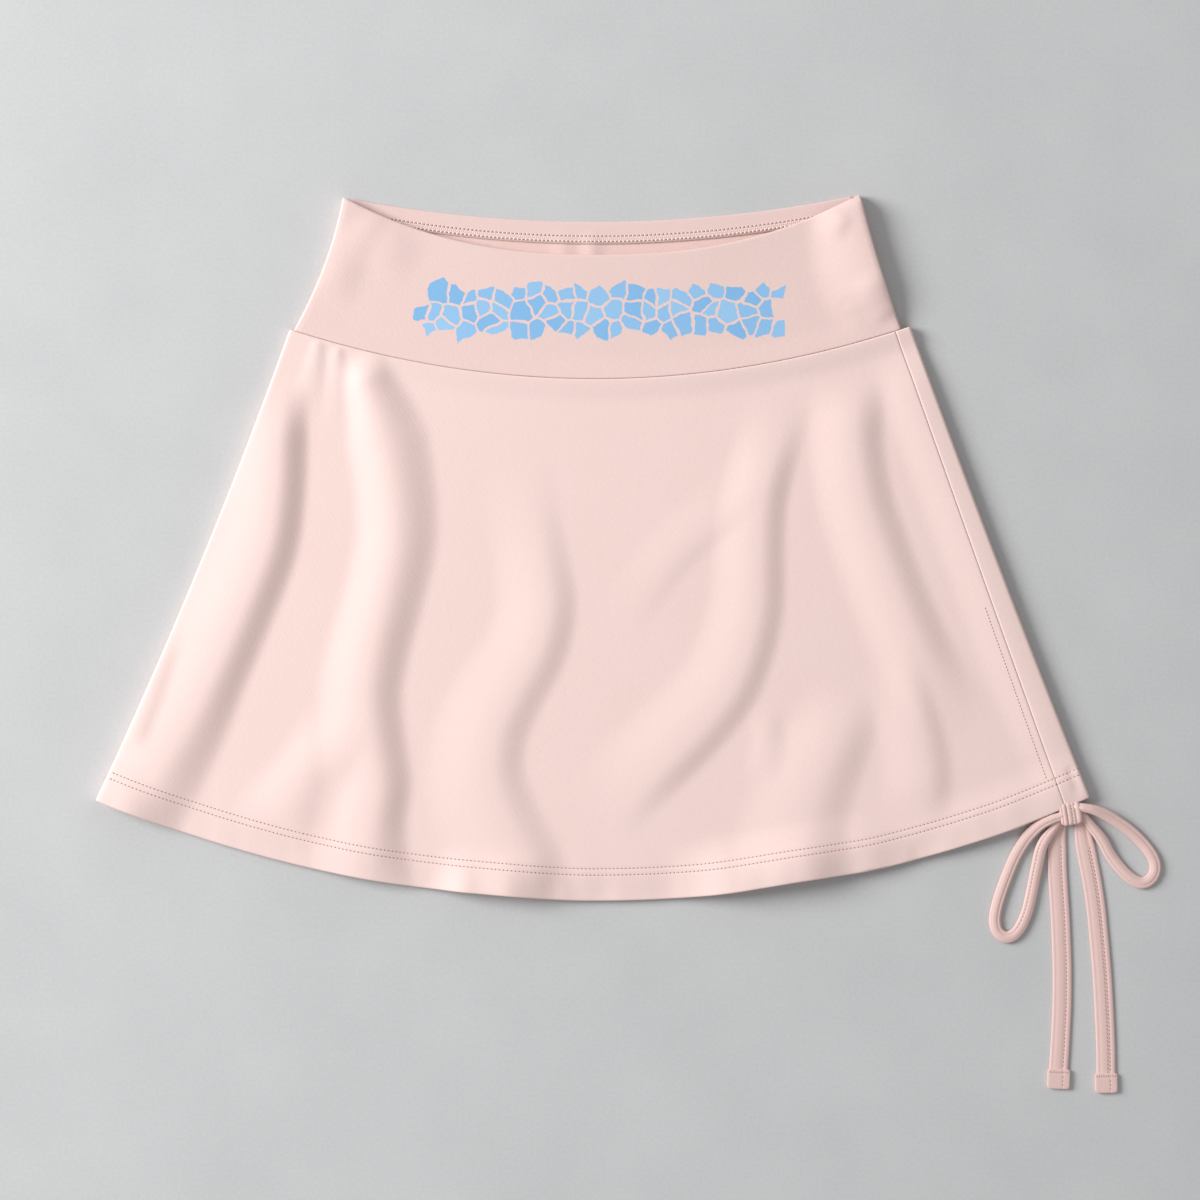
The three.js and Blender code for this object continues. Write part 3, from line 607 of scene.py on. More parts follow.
def fold_lift(fold, x, y):
    """How high one fold lifts the cloth at each place."""
    line = smooth_line(fold["crest"], CREST_SPACING)
    nearest = np.full(x.shape, np.inf)
    side = np.zeros(x.shape)
    place = np.zeros(x.shape)
    for i in range(len(line) - 1):
        run = line[i + 1] - line[i]
        share = np.clip(((x - line[i, 0]) * run[0] + (y - line[i, 1]) * run[1]) / (run @ run), 0, 1)
        dx = x - line[i, 0] - run[0] * share
        dy = y - line[i, 1] - run[1] * share
        distance = np.hypot(dx, dy)
        closer = distance < nearest
        nearest = np.where(closer, distance, nearest)
        side = np.where(closer, run[0] * dy - run[1] * dx, side)
        place = np.where(closer, (i + share) / (len(line) - 1), place)
    left = width_along(fold["left"], place)
    right = width_along(fold["right"], place)
    reach = np.clip(nearest / np.where(side < 0, left, right), 0, 1)
    rise = ease(place / fold["fade_in"])
    fall = mix(fold["foot"], 1, ease((1 - place) / fold["fade_out"]))
    return fold["height"] * rise * fall * (1 - reach * reach) ** 2


def lift(folds, x, y):
    return sum(fold_lift(fold, x, y) for fold in folds)


print(len(SKIRT_FOLDS), "folds in the skirt and", len(BAND_FOLDS), "in the waistband")

# %% [markdown]
# Each panel is a grid that is laid between two of the edges. A place on it has t, from -1 at the
# left edge to 1 at the right, and v, from 0 at the top to 1 at the foot.

# %% Lay of the panels
def edge_height(edge, t):
    ends = mix(edge["left"], edge["right"], (t + 1) / 2)
    return ends - edge["sag"] * (1 - np.abs(t) ** edge["power"])


def edge_point(edge, t):
    return edge["centre"] + edge["half"] * t, edge_height(edge, t)


def height_at(edge, x):
    return edge_height(edge, (x - edge["centre"]) / edge["half"])


def band_foot(t):
    x = BAND_FOOT["centre"] + BAND_FOOT["half"] * t
    return x, height_at(WAIST_SEAM, x) + SEAM_GAP


def plan(top, foot, bow, t, v):
    inward = mix(bow["left"], -bow["right"], (t + 1) / 2) * 4 * v * (1 - v)
    return mix(top[0], foot[0], v) + inward, mix(top[1], foot[1], v)


def wave_along(heights, t):
    """A soft wave through evenly spaced heights, from the left edge to the right."""
    place = (np.clip(t, -1, 1) + 1) / 2 * (len(heights) - 1)
    first = np.minimum(place.astype(int), len(heights) - 2)
    heights = np.array(heights)
    return mix(heights[first], heights[first + 1], ease(place - first))


def skirt_plan(t, v):
    hem_x, hem_y = edge_point(HEM, t)
    hem = (hem_x, hem_y + wave_along(HEM_WAVE, t))
    return plan(edge_point(WAIST_SEAM, t), hem, SKIRT_SIDE_BOW, t, v)


def band_plan(t, v):
    return plan(edge_point(WAIST_FRONT, t), band_foot(t), BAND_SIDE_BOW, t, v)


def back_band_plan(t, v):
    return plan(edge_point(WAIST_BACK, t), band_foot(t), BAND_SIDE_BOW, t, v)


def skirt_half(v):
    return mix(WAIST_SEAM["half"], HEM["half"], v)


def band_half(v):
    return mix(WAIST_FRONT["half"], BAND_FOOT["half"], v)


def casing_width(v):
    return mix(CASING["top"], CASING["hem"], np.clip(v, 0, 1) ** CASING["power"])


SKIRT_LENGTH = edge_height(WAIST_SEAM, 0) - edge_height(HEM, 0)
FRONT_BAND_LENGTH = edge_height(WAIST_FRONT, 0) - edge_height(WAIST_SEAM, 0)
BACK_BAND_LENGTH = edge_height(WAIST_BACK, 0) - edge_height(WAIST_SEAM, 0)
print("skirt", round(SKIRT_LENGTH), "mm long, waistband", round(FRONT_BAND_LENGTH), "mm deep")

# %% [markdown]
# The twin needle pulls the cloth into two fine grooves along the hem, with a soft welt between,
# and the hem's fold below them puckers a little. Both are part of the height of the cloth.

# %% Height of the cloth
HEM_ROWS = (16.6, 20.7)
GROOVE_DEPTH = 0.14
GROOVE_WIDTH = 0.9
PUCKER = 0.6
PUCKER_LENGTH = 16.0
PUCKER_REACH = 24.0


def grooves(distance, rows):
    return sum(GROOVE_DEPTH * np.exp(-(((distance - row) / GROOVE_WIDTH) ** 2)) for row in rows)


def soft_noise(x, y, scale, seed):
    flat = [noise.noise(Vector((a / scale, b / scale, seed))) for a, b in zip(np.ravel(x), np.ravel(y))]
    return np.reshape(flat, np.shape(x))


def skirt_top(x, y, v):
    below = height_at(WAIST_SEAM, x) - y
    rise = SEAM_RISE["skirt"] * (1 - ease(below / SEAM_RISE["reach"]))
    to_hem = (1 - v) * SKIRT_LENGTH
    fall = HEM_FALL["height"] * (1 - ease(to_hem / HEM_FALL["reach"]))
    hem_share = np.exp(-((to_hem / PUCKER_REACH) ** 2))
    pucker = PUCKER * hem_share * soft_noise(x, y * 0.3, PUCKER_LENGTH, 3.1)
    return SKIRT_TOP + rise - fall + lift(SKIRT_FOLDS, x, y) + pucker - grooves(to_hem, HEM_ROWS)


def band_top(x, y, t, v):
    mouth = MOUTH_LIFT * (1 - np.abs(np.clip(t, -1, 1)) ** MOUTH_LIFT_POWER) * (1 - np.clip(v, 0, 1)) ** 2
    rise = SEAM_RISE["band"] * (1 - ease((1 - v) * FRONT_BAND_LENGTH / SEAM_RISE["reach"]))
    return BAND_TOP + mouth + rise + lift(BAND_FOLDS, x, y)


# %% [markdown]
# A grid is the plainest start for cloth: bmesh makes it, and each vertex is then moved to its
# place. The rows can run past an edge, turn under it and come back inside, as a real hem does,
# and the columns at a rolled side turn down and under to meet the back. Solidify gives the knit
# its thickness afterwards, on the inside.

# %% Make a sheet from a grid
def sheet_piece(name, points, flat, materials, face_up=True, thickness=KNIT):
    rows, columns = points.shape[:2]
    bm = bmesh.new()
    bmesh.ops.create_grid(bm, x_segments=columns - 1, y_segments=rows - 1, size=0.5)
    uv = bm.loops.layers.uv.new("UVMap")
    place = {}
    for vertex in bm.verts:
        column = round((vertex.co.x + 0.5) * (columns - 1))
        row = round((0.5 - vertex.co.y) * (rows - 1))
        place[vertex] = (row, column)
    for vertex, (row, column) in place.items():
        vertex.co = Vector(points[row, column]) * MM
    for face in bm.faces:
        for loop in face.loops:
            loop[uv].uv = Vector(flat[place[loop.vert]]) * MM
    if not face_up:
        bmesh.ops.reverse_faces(bm, faces=bm.faces)
    piece = link(name, bm, materials)
    solid = piece.modifiers.new("knit_thickness", "SOLIDIFY")
    solid.thickness = thickness * MM
    solid.offset = -1
    print(name, rows, "by", columns, "points")
    return piece


def seam_drop(distance, radius=1.1, depth=0.7):
    """How far the cloth has rolled down into a seam at a distance from it."""
    inside = np.clip(1 - np.asarray(distance) / radius, 0, 1)
    return depth * (1 - np.sqrt(1 - inside**2))


SEAM_STEPS = (0, 0.12, 0.35, 0.7, 1.1, 1.6, 2.6)
ROLL_ANGLES = np.radians([90, 76, 62, 48, 34, 20, 8])
TURN_ANGLES = np.radians([0, 25, 50, 75, 90])
UNDER_STEP = 3.2


def lay(columns, rows, place_of, half, top, start, end, length):
    """Points and flat places of a front panel. Each column is a kind and a value, each row v and a depth."""
    v = np.array([row[0] for row in rows])[:, None]
    depth = np.array([row[1] for row in rows])[:, None]
    kinds = [kind for kind, value in columns]
    first = start(v) + ("seam_left" in kinds) * SEAM_STEPS[-1] / half(v)
    last = end(v) - ("seam_right" in kinds) * SEAM_STEPS[-1] / half(v)
    rim_height = {}
    for sign in (-1, 1):
        rim = sign * (1 - SIDE_ROLL / half(v))
        rim_height[sign] = top(*place_of(rim, v), rim, v) - depth
    places = []
    heights = []
    drops = []
    for kind, value in columns:
        sign = -1 if kind.endswith("left") else 1
        full = rim_height[sign]
        height = np.full(v.shape, np.nan)
        drop = 0.0
        if kind == "share":
            t = mix(first, last, value)
        elif kind.startswith("seam"):
            t = (start(v) if sign < 0 else end(v)) - sign * value / half(v)
            drop = seam_drop(value)
        else:
            if kind.startswith("roll"):
                inset = depth + (SIDE_ROLL - depth) * (1 - math.cos(value))
                height = SIDE_TURN + (full - SIDE_TURN) * math.sin(value)
            elif kind.startswith("turn"):
                inset = depth + (SIDE_TURN - depth) * (1 - math.cos(value))
                height = depth + (SIDE_TURN - depth) * (1 - math.sin(value))
            else:
                inset = value + 0 * v
                height = depth
            t = sign * (1 - inset / half(v))
        places.append(t)
        heights.append(height)
        drops.append(drop)
    t = np.hstack(places)
    x, y = place_of(t, v)
    given = np.hstack(heights)
    z = np.where(np.isnan(given), top(x, y, t, v) - depth - np.array(drops)[None, :], given)
    points = np.stack([x, y, z], axis=2)
    steps = np.linalg.norm(np.diff(points, axis=1), axis=2)
    along = np.concatenate([np.zeros(v.shape), np.cumsum(steps, axis=1)], axis=1)
    middle = (points[:, :1, 0] + points[:, -1:, 0] - along[:, -1:]) / 2
    flat = np.stack([along + middle, -v * length + 0 * along], axis=2)
    return points, flat


def side_columns(side):
    under = [(f"under_{side}", UNDER_STEP)]
    turn = [(f"turn_{side}", angle) for angle in TURN_ANGLES[::-1]]
    roll = [(f"roll_{side}", angle) for angle in ROLL_ANGLES[:0:-1]]
    columns = under + turn + roll
    return columns if side == "left" else columns[::-1]


# %% [markdown]
# The front panel is one sheet from the waist seam to the hem. Its hem allowance is turned up
# inside: the rows reach the edge, turn round a small radius and run back up to the stitching.

# %% Front panel
HEM_ALLOWANCE = 21.5
HEM_STACK = 1.9
COLUMN_STEP = 3.0
ROW_STEP = 3.0


def fold_under(length, stack, allowance, at_foot=True):
    """Rows that turn round an edge and come back inside, as (v, depth)."""
    radius = stack / 2
    sign = 1 if at_foot else -1
    edge = 1 if at_foot else 0
    turn = [
        (edge + sign * (radius * math.sin(a) - radius) / length, radius * (1 - math.cos(a)))
        for a in np.radians([15, 40, 65, 90, 115, 140, 165, 180])
    ]
    back = [(edge - sign * (radius + d) / length, stack) for d in np.linspace(2, allowance, 6)]
    return turn + back


def skirt_rows():
    seam = [(d / SKIRT_LENGTH, seam_drop(d)) for d in SEAM_STEPS]
    last = SKIRT_LENGTH - HEM_STACK / 2 - 0.4
    fine = np.concatenate([np.arange(last - 24, last - 12, 0.5), np.arange(last - 12, last, 2.0)])
    body = np.concatenate([np.arange(SEAM_STEPS[-1] + 1.5, last - 24, ROW_STEP), fine, [last]])
    hem = fold_under(SKIRT_LENGTH, HEM_STACK, HEM_ALLOWANCE)
    return seam + [(d / SKIRT_LENGTH, 0.0) for d in body] + hem


def share_columns(width, step, seam_left=False, seam_right=False):
    count = max(1, round(width / step))
    inner = [("share", k / count) for k in range(count + 1)]
    if seam_left:
        inner = [("seam_left", d) for d in SEAM_STEPS] + inner[1:]
    if seam_right:
        inner = inner[:-1] + [("seam_right", d) for d in SEAM_STEPS[::-1]]
    return inner


skirt_surface = {
    "place_of": skirt_plan,
    "half": skirt_half,
    "top": lambda x, y, t, v: skirt_top(x, y, v),
}
front_points, front_flat = lay(
    side_columns("left") + share_columns(600, COLUMN_STEP, seam_right=True),
    skirt_rows(),
    start=lambda v: -1 + SIDE_ROLL / skirt_half(v),
    end=lambda v: 1 - (casing_width(v) + SEAM_GAP / 2) / skirt_half(v),
    length=SKIRT_LENGTH,
    **skirt_surface,
)
skirt_front = sheet_piece("skirt_front_panel", front_points, front_flat, [brushed_interlock])
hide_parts("skirt_front")

# %% [markdown]
# The casing is the strip that holds the drawcord: the skirt's edge is turned over and sewn down,
# so it is its own strip with a seam on its left and the rolled side edge on its right.

# %% Drawcord casing
casing_points, casing_flat = lay(
    share_columns(8, 1.3, seam_left=True) + side_columns("right"),
    skirt_rows(),
    start=lambda v: 1 - (casing_width(v) - SEAM_GAP / 2) / skirt_half(v),
    end=lambda v: 1 - SIDE_ROLL / skirt_half(v),
    length=SKIRT_LENGTH,
    **skirt_surface,
)
casing = sheet_piece("side_casing_strip", casing_points, casing_flat, [brushed_interlock])
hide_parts("side_casing")

# %% [markdown]
# The back panel lies flat on the surface with its right side down. It needs few rows, except at
# the turned-up hem, which peeks out below the front one near both corners.

# %% Back panel
def lay_flat(columns, rows, place_of, half, inset, drop_hem=0.0):
    """Points of a panel that lies flat with its outer face down. Each row is v and a height."""
    v = np.array([row[0] for row in rows])[:, None]
    height = np.array([row[1] for row in rows])[:, None]
    t = np.linspace(-1, 1, columns)[None, :] * (1 - inset / half(v))
    x, y = place_of(t, v)
    peek = sum(np.exp(-(((t - PEEK[side]) / PEEK["width"]) ** 2)) for side in ("left", "right"))
    bend = drop_hem * (peek - 0.3) * np.clip((v - 0.8) / 0.2, 0, 1)
    points = np.stack([x, y - bend, height + 0 * x], axis=2)
    return points, np.stack([t * half(v), -v * SKIRT_LENGTH + 0 * t], axis=2)


PEEK = {"left": -0.96, "right": 0.87, "width": 0.05}


def back_rows():
    body = np.linspace(SEAM_GAP, SKIRT_LENGTH - HEM_STACK / 2 - 0.4, 60)
    return [(d / SKIRT_LENGTH, 0.0) for d in body] + fold_under(SKIRT_LENGTH, HEM_STACK, HEM_ALLOWANCE)


back_points, back_flat = lay_flat(
    120, back_rows(), skirt_plan, skirt_half, SKIRT_BACK_INSET, BACK_HEM_DROP
)
skirt_back = sheet_piece("skirt_back_panel", back_points, back_flat, [brushed_interlock], face_up=False)
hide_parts("skirt_back")

# %% [markdown]
# The front waistband is a double layer with elastic along its top edge, where the cloth folds
# over and down inside. Its foot rolls into the waist seam.

# %% Front waistband
BAND_STACK = 2.4
TUNNEL_DEPTH = 14


def band_rows(length):
    last = length - SEAM_STEPS[-1]
    first = BAND_STACK / 2 + 0.4
    top = fold_under(length, BAND_STACK, TUNNEL_DEPTH, at_foot=False)[::-1]
    body = [(d / length, 0.0) for d in np.linspace(first, last - 1.5, round(length / 2.2))]
    seam = [(1 - d / length, seam_drop(d)) for d in SEAM_STEPS[::-1]]
    return top + body + seam


band_points, band_flat = lay(
    side_columns("left") + share_columns(350, COLUMN_STEP) + side_columns("right"),
    band_rows(FRONT_BAND_LENGTH),
    band_plan,
    band_half,
    band_top,
    start=lambda v: -1 + SIDE_ROLL / band_half(v),
    end=lambda v: 1 - SIDE_ROLL / band_half(v),
    length=FRONT_BAND_LENGTH,
)
waistband_front = sheet_piece("waistband_front_panel", band_points, band_flat, [printed_interlock])
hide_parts("waistband_front")

# %% [markdown]
# The back waistband shows its inside above the front edge: the folded top, the turned-down
# allowance and, below it, the cloth itself, gathered a little at the centre.

# %% Back waistband
BACK_BAND_WALL = 1.0
BACK_STACK = 2.0
ALLOWANCE = 14.3
GATHERS = ({"x": -19.0, "height": 0.7, "width": 7.0}, {"x": -1.0, "height": 1.0, "width": 6.0})
GATHER_TOP = 4.0
GATHER_REACH = 12.0


def back_band_rows():
    last = BACK_BAND_LENGTH - SEAM_GAP
    body = np.linspace(BACK_STACK / 2 + 0.4, last, 40)
    top = fold_under(BACK_BAND_LENGTH, BACK_STACK, ALLOWANCE - BACK_STACK / 2, at_foot=False)[::-1]
    return top + [(d / BACK_BAND_LENGTH, 0.0) for d in body]


def gathered(x, y):
    """How far the elastic gathers lift the cloth at the centre of the back."""
    below = height_at(WAIST_BACK, x) - y
    rise = ease((below - GATHER_TOP) / GATHER_REACH)
    return rise * sum(g["height"] * np.exp(-(((x - g["x"]) / g["width"]) ** 2)) for g in GATHERS)


back_band_points, back_band_flat = lay_flat(
    240, back_band_rows(), back_band_plan, band_half, BAND_BACK_INSET
)
back_band_points[:, :, 2] += gathered(back_band_points[:, :, 0], back_band_points[:, :, 1])
waistband_back = sheet_piece(
    "waistband_back_panel",
    back_band_points,
    back_band_flat,
    [interlock_inside],
    face_up=False,
    thickness=BACK_BAND_WALL,
)
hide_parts("waistband_back")

# %% [markdown]
# The knot hides the crossing of the four strands, and each tail ends in a folded, stitched end.
# All three are soft lumps, so each starts as a cube that is cut finely and rounded.

# %% Knot and tie ends
KNOT_ROW = 0.12
END_DASHES = 9
END_DASH = (1.5, 0.6, 0.4)


def ditch(distance, width, depth):
    return depth * math.exp(-((distance / width) ** 2))


def knot_dents(x, y):
    folds = ditch(x + 0.34, 0.06, 0.34) + ditch(x - KNOT_ROW, 0.08, 0.12) + ditch(x - 0.46, 0.14, 0.18)
    foot = 0.16 * max(0, -y - 0.7) * math.cos(7 * x)
    return folds + ditch(x + 0.74, 0.06, 0.14) + foot


def end_dents(x, y):
    return ditch(y - 0.64, 0.1, 0.2) + ditch(x - 0.36, 0.06, 0.12)


END_SHAPE = {"size": (14.4, 12.8, 2.8), "squareness": 8.0, "dents": end_dents}
KNOT = {"size": (14.0, 14.8, 7.0), "place": (304.7, -169.8, 2.2), "turn": 0.16,
        "squareness": 5.0, "dents": knot_dents}
TIE_ENDS = {
    "tie_end_left": {"place": (297.8, -339.8, 0), "turn": -0.04, **END_SHAPE},
    "tie_end_right": {"place": (328.2, -342.4, 0), "turn": 0.02, **END_SHAPE},
}


def soft_block(name, block):
    """A cube, cut finely, rounded towards an ellipsoid by its squareness, and dented on top."""
    bm = bmesh.new()
    bmesh.ops.create_cube(bm, size=2)
    bmesh.ops.subdivide_edges(bm, edges=bm.edges, cuts=31, use_grid_fill=True)
    power = block["squareness"]
    for vertex in bm.verts:
        x, y, z = vertex.co
        spread = (abs(x) ** power + abs(y) ** power + abs(z) ** power) ** (1 / power)
        vertex.co = vertex.co / spread
        if vertex.co.z > 0:
            vertex.co.z *= 1 - block["dents"](vertex.co.x, vertex.co.y)
    half = Vector(block["size"]) / 2
    bmesh.ops.scale(bm, verts=bm.verts, vec=half * MM)
    bmesh.ops.rotate(bm, verts=bm.verts, matrix=Matrix.Rotation(block["turn"], 3, "Z"))
    bmesh.ops.translate(bm, verts=bm.verts, vec=(Vector(block["place"]) + Vector((0, 0, half.z))) * MM)
    return link(name, bm, [tie_object_knit])


tie_object_knit = knit_material(
    "tie_knit_by_place", "#f1d0c9", "#e6c2bb", roughness=0.62, sheen=0.3, coordinates="Object"
)
knot = soft_block("tie_knot_wrap", KNOT)
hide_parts("tie_knot")
for node, block in TIE_ENDS.items():
    soft_block(f"{node}_fold", block)
    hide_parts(node)

for node, piece in tie_pieces.items():
    line = tie_lines[node] * MM
    loop = "loop" in node
    section = LOOP_SECTION if loop else TAIL_SECTION

# %% [markdown]
# The inner shorts are four plain panels between the front and the back. They can't be seen as
# the garment lies, so each is a plain outline, filled and given its thickness.

# %% Inner shorts
SHORTS = {
    "centre": 3, "waist_half": 181, "hip_half": 208, "hip_height": -20, "leg_half": 219,
    "leg_outer": -136, "leg_inner": -150, "leg_gap": 11, "crotch": -74, "waist_drop": 1,
}
SHORTS_LAYERS = {"back": 1.5, "front": 2.8}
SHORTS_WALL = 1.0


def shorts_outline(side):
    out = np.linspace(SEAM_GAP / 2, SHORTS["waist_half"], 13)
    waist = [(SHORTS["centre"] + side * d, 0) for d in out]
    waist = [(x, float(height_at(WAIST_SEAM, x)) - SHORTS["waist_drop"]) for x, _ in waist]
    corner = Vector((SHORTS["waist_half"], waist[-1][1]))
    hip = Vector((SHORTS["hip_half"], SHORTS["hip_height"]))
    leg = Vector((SHORTS["leg_half"], SHORTS["leg_outer"]))
    outseam = [corner * (1 - w) ** 2 + hip * 2 * w * (1 - w) + leg * w**2 for w in np.linspace(0, 1, 10)[1:]]
    rest = [(p.x, p.y) for p in outseam]
    rest += [(SHORTS["leg_gap"], SHORTS["leg_inner"]), (SEAM_GAP / 2, SHORTS["crotch"])]
    return waist + [(SHORTS["centre"] + side * x, y) for x, y in rest]


def shorts_panel(layer, side_name, side):
    bm = bmesh.new()
    corners = [bm.verts.new((x * MM, y * MM, SHORTS_LAYERS[layer] * MM)) for x, y in shorts_outline(side)]
    bmesh.ops.contextual_create(bm, geom=corners)
    bmesh.ops.recalc_face_normals(bm, faces=bm.faces)
    if next(iter(bm.faces)).normal.z > 0:
        bmesh.ops.reverse_faces(bm, faces=bm.faces)
    raised = bmesh.ops.extrude_face_region(bm, geom=list(bm.faces), use_keep_orig=True)["geom"]
    moved = [g for g in raised if isinstance(g, bmesh.types.BMVert)]
    bmesh.ops.translate(bm, verts=moved, vec=(0, 0, SHORTS_WALL * MM))
    bmesh.ops.recalc_face_normals(bm, faces=bm.faces)
    piece = link(f"shorts_{layer}_{side_name}_panel", bm, [shorts_object_jersey], smooth=False)
    node = f"shorts_{layer}_{side_name}"
    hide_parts(node)
    return piece


shorts_object_jersey = knit_material(
    "stretch_jersey_by_place", "#efcfc9", "#e4c1ba", roughness=0.66, coordinates="Object"
)
shorts = [
    shorts_panel(layer, side_name, side)
    for layer in SHORTS_LAYERS
    for side_name, side in {"left": -1, "right": 1}.items()
]
print("shorts", [piece.name for piece in shorts])

# %% [markdown]
# Stitches are small and many, so each is a stretched icosahedron of twenty faces, and a row of
# them is one mesh. Between two stitches sits the needle hole, drawn as a darker dot of painted shade.

# %% Rows of stitches
STITCH_PITCH = 2.55


def along_line(points, pitch):
    """Evenly spaced places on a line with the direction at each."""
    line = np.array(points, dtype=float)
    along = np.concatenate([[0], np.cumsum(np.linalg.norm(np.diff(line, axis=0), axis=1))])
    wanted = np.arange(pitch / 2, along[-1], pitch)
    places = np.stack([np.interp(wanted, along, line[:, k]) for k in range(3)], axis=1)
    ahead = np.stack([np.interp(wanted + 0.3, along, line[:, k]) for k in range(3)], axis=1)
    behind = np.stack([np.interp(wanted - 0.3, along, line[:, k]) for k in range(3)], axis=1)
    return places, ahead - behind


def add_bead(bm, place, direction, size, up=(0, 0, 1)):
    forward = Vector(direction).normalized()
    across = Vector(up).cross(forward).normalized()
    basis = Matrix((forward, across, forward.cross(across))).transposed().to_4x4()
    turn = Matrix.Translation(Vector(place) * MM) @ basis @ Matrix.Diagonal((*(Vector(size) * MM / 2), 1))
    bmesh.ops.create_icosphere(bm, subdivisions=1, radius=1.0, matrix=turn)


def stitch_row(bm, points, pitch=STITCH_PITCH, size=(1.4, 0.5, 0.36), shift=0.0, lift_by=0.02):
    places, directions = along_line(points, pitch)
    for place, direction in zip(places, directions):
        forward = direction / np.linalg.norm(direction)
        add_bead(bm, place + forward * shift + (0, 0, lift_by), direction, size)
    return len(places)


def rolled_top(x, y, t, v):
    """The height of the skirt's front, down to the rolled sides too."""
    full = skirt_top(x, y, v)
    share = np.clip(1 - (1 - np.abs(t)) * skirt_half(v) / SIDE_ROLL, 0, 1)
    return SIDE_TURN + (full - SIDE_TURN) * np.sqrt(1 - share**2)


def hem_line(row, edge_margin):
    v = np.full(400, 1 - row / SKIRT_LENGTH)
    t = np.linspace(-1, 1, 400) * (1 - edge_margin / skirt_half(v))
    x, y = skirt_plan(t, v)
    return np.stack([x, y, rolled_top(x, y, t, v)], axis=1)


thread_bm = bmesh.new()
# The needle holes of the hem are dark dots of painted shade between the stitches.
hole_shade_bm = bmesh.new()
count = 0
for row in HEM_ROWS:
    line = hem_line(row, edge_margin=1.2)
    count += stitch_row(thread_bm, line)
    stitch_row(hole_shade_bm, line, size=(1.1, 0.95, 0.34), shift=STITCH_PITCH / 2)
print(count, "hem stitches")

# %% Casing topstitching
CASING_STITCH_OFFSET = 4.8
CASING_PITCH = 2.2
v = np.linspace(0.57, 1 - 24 / SKIRT_LENGTH, 160)
t = 1 - (casing_width(v) + CASING_STITCH_OFFSET) / skirt_half(v)
x, y = skirt_plan(t, v)
casing_line = np.stack([x, y, skirt_top(x, y, v)], axis=1)
count = stitch_row(thread_bm, casing_line, CASING_PITCH, (1.2, 0.4, 0.3))
# The casing's needle holes are dark dots of painted shade.
stitch_row(hole_shade_bm, casing_line, CASING_PITCH, (1.05, 0.85, 0.3), shift=CASING_PITCH / 2)
print(count, "casing stitches")

# %% [markdown]
# The tie is edge-stitched in the ditch along each tail and along the inner limb of the left loop.
# On the knot a short row shows on the strip that wraps it, and each tie end has a row of dashes
# that hold its fold.

# %% Stitches of the tie
TIE_PITCH = 2.5
TIE_STITCH = (1.4, 0.7, 0.4)
FINE_STITCH = (1.0, 0.55, 0.35)


def ditch_line(node, place, first, last):
    """A line on the top of a strand, at a share of its half width, between two shares of its length."""
    section = LOOP_SECTION if "loop" in node else TAIL_SECTION
    line = tie_lines[node]
    line = line[round(first * (len(line) - 1)) : round(last * (len(line) - 1)) + 1]
    ahead = np.gradient(line, axis=0)[:, :2]
    ahead = ahead / np.linalg.norm(ahead, axis=1)[:, None]
    side = np.stack([-ahead[:, 1], ahead[:, 0]], axis=1) * place * section["width"] / 2
    sides, heights = tube_ring(section, 1.0, 0.0)
    upper = heights > 0.4 * section["thickness"]
    order = np.argsort(sides[upper])
    top = np.interp(place * section["width"] / 2, sides[upper][order], heights[upper][order])
    foot = np.maximum(line[:, 2] - section["thickness"] / 2, section["bottom"])
    return np.column_stack([line[:, :2] + side, foot + top])


tie_bm = bmesh.new()
count = 0
for node, place, first, last, size in (
    ("tie_loop_left", STITCH_DITCH["place"], 0.6, 0.93, FINE_STITCH),
    ("tie_tail_left", STITCH_DITCH["place"], 0.12, 1.0, TIE_STITCH),
    ("tie_tail_right", STITCH_DITCH["place"], 0.12, 1.0, TIE_STITCH),
    ("tie_tail_right", 0.18, 0.13, 1.0, FINE_STITCH),
):
    count += stitch_row(tie_bm, ditch_line(node, place, first, last), TIE_PITCH, size)


def on_block(block, x, y):
    """A point on the top of a soft block, from shares of its half width and half length."""
    half = Vector(block["size"]) / 2
    power = block["squareness"]
    top = max(0.01, 1 - abs(x) ** power - abs(y) ** power) ** (1 / power)
    spot = Vector((x * half.x, y * half.y, half.z * (1 + top * (1 - block["dents"](x, y)))))
    spot.rotate(Matrix.Rotation(block["turn"], 3, "Z"))
    return np.array(Vector(block["place"]) + spot)


for block in TIE_ENDS.values():
    down = on_block(block, 0, -0.5) - on_block(block, 0, 0.5)
    for share in np.linspace(-0.8, 0.8, END_DASHES):
        add_bead(tie_bm, on_block(block, share, 0.64), down, END_DASH)
    edge_row = [on_block(block, 0.36, y) for y in (0.4, -0.9)]
    count += END_DASHES + stitch_row(tie_bm, edge_row, TIE_PITCH, TIE_STITCH)
knot_row = [on_block(KNOT, KNOT_ROW, y) for y in np.linspace(0.8, -0.85, 9)]
count += stitch_row(tie_bm, knot_row, 1.9, (1.1, 0.7, 0.5))
# The tie's stitches carry painted shade of the ditches and dents that they sit in.
tie_stitches = link("tie_stitches", tie_bm, [tie_thread_and_shade])
print(count, "stitches on the tie")

# %% Make the stitching objects
stitching = link("hem_and_casing_stitches", thread_bm, [hem_thread_and_shade])
hole_shade_dots = link("needle_hole_shade_dots", hole_shade_bm, [needle_shadow])

# %% [markdown]
# Inside the back waistband a coverstitch holds the turned-down allowance: two needle rows, and
# looper threads that cross between them.

# %% Coverstitch inside the waist
COVER_ROWS = {"upper": 9.2, "chain": 10.8, "lower": 12.7}
COVER_PITCH = 2.6


def inside_line(distance, height):
    v = np.full(300, distance / BACK_BAND_LENGTH)
    t = np.linspace(-1, 1, 300) * (1 - (BAND_BACK_INSET + 2) / band_half(v))
    x, y = back_band_plan(t, v)
    return np.stack([x, y, height + gathered(x, y)], axis=1)


cover_bm = bmesh.new()
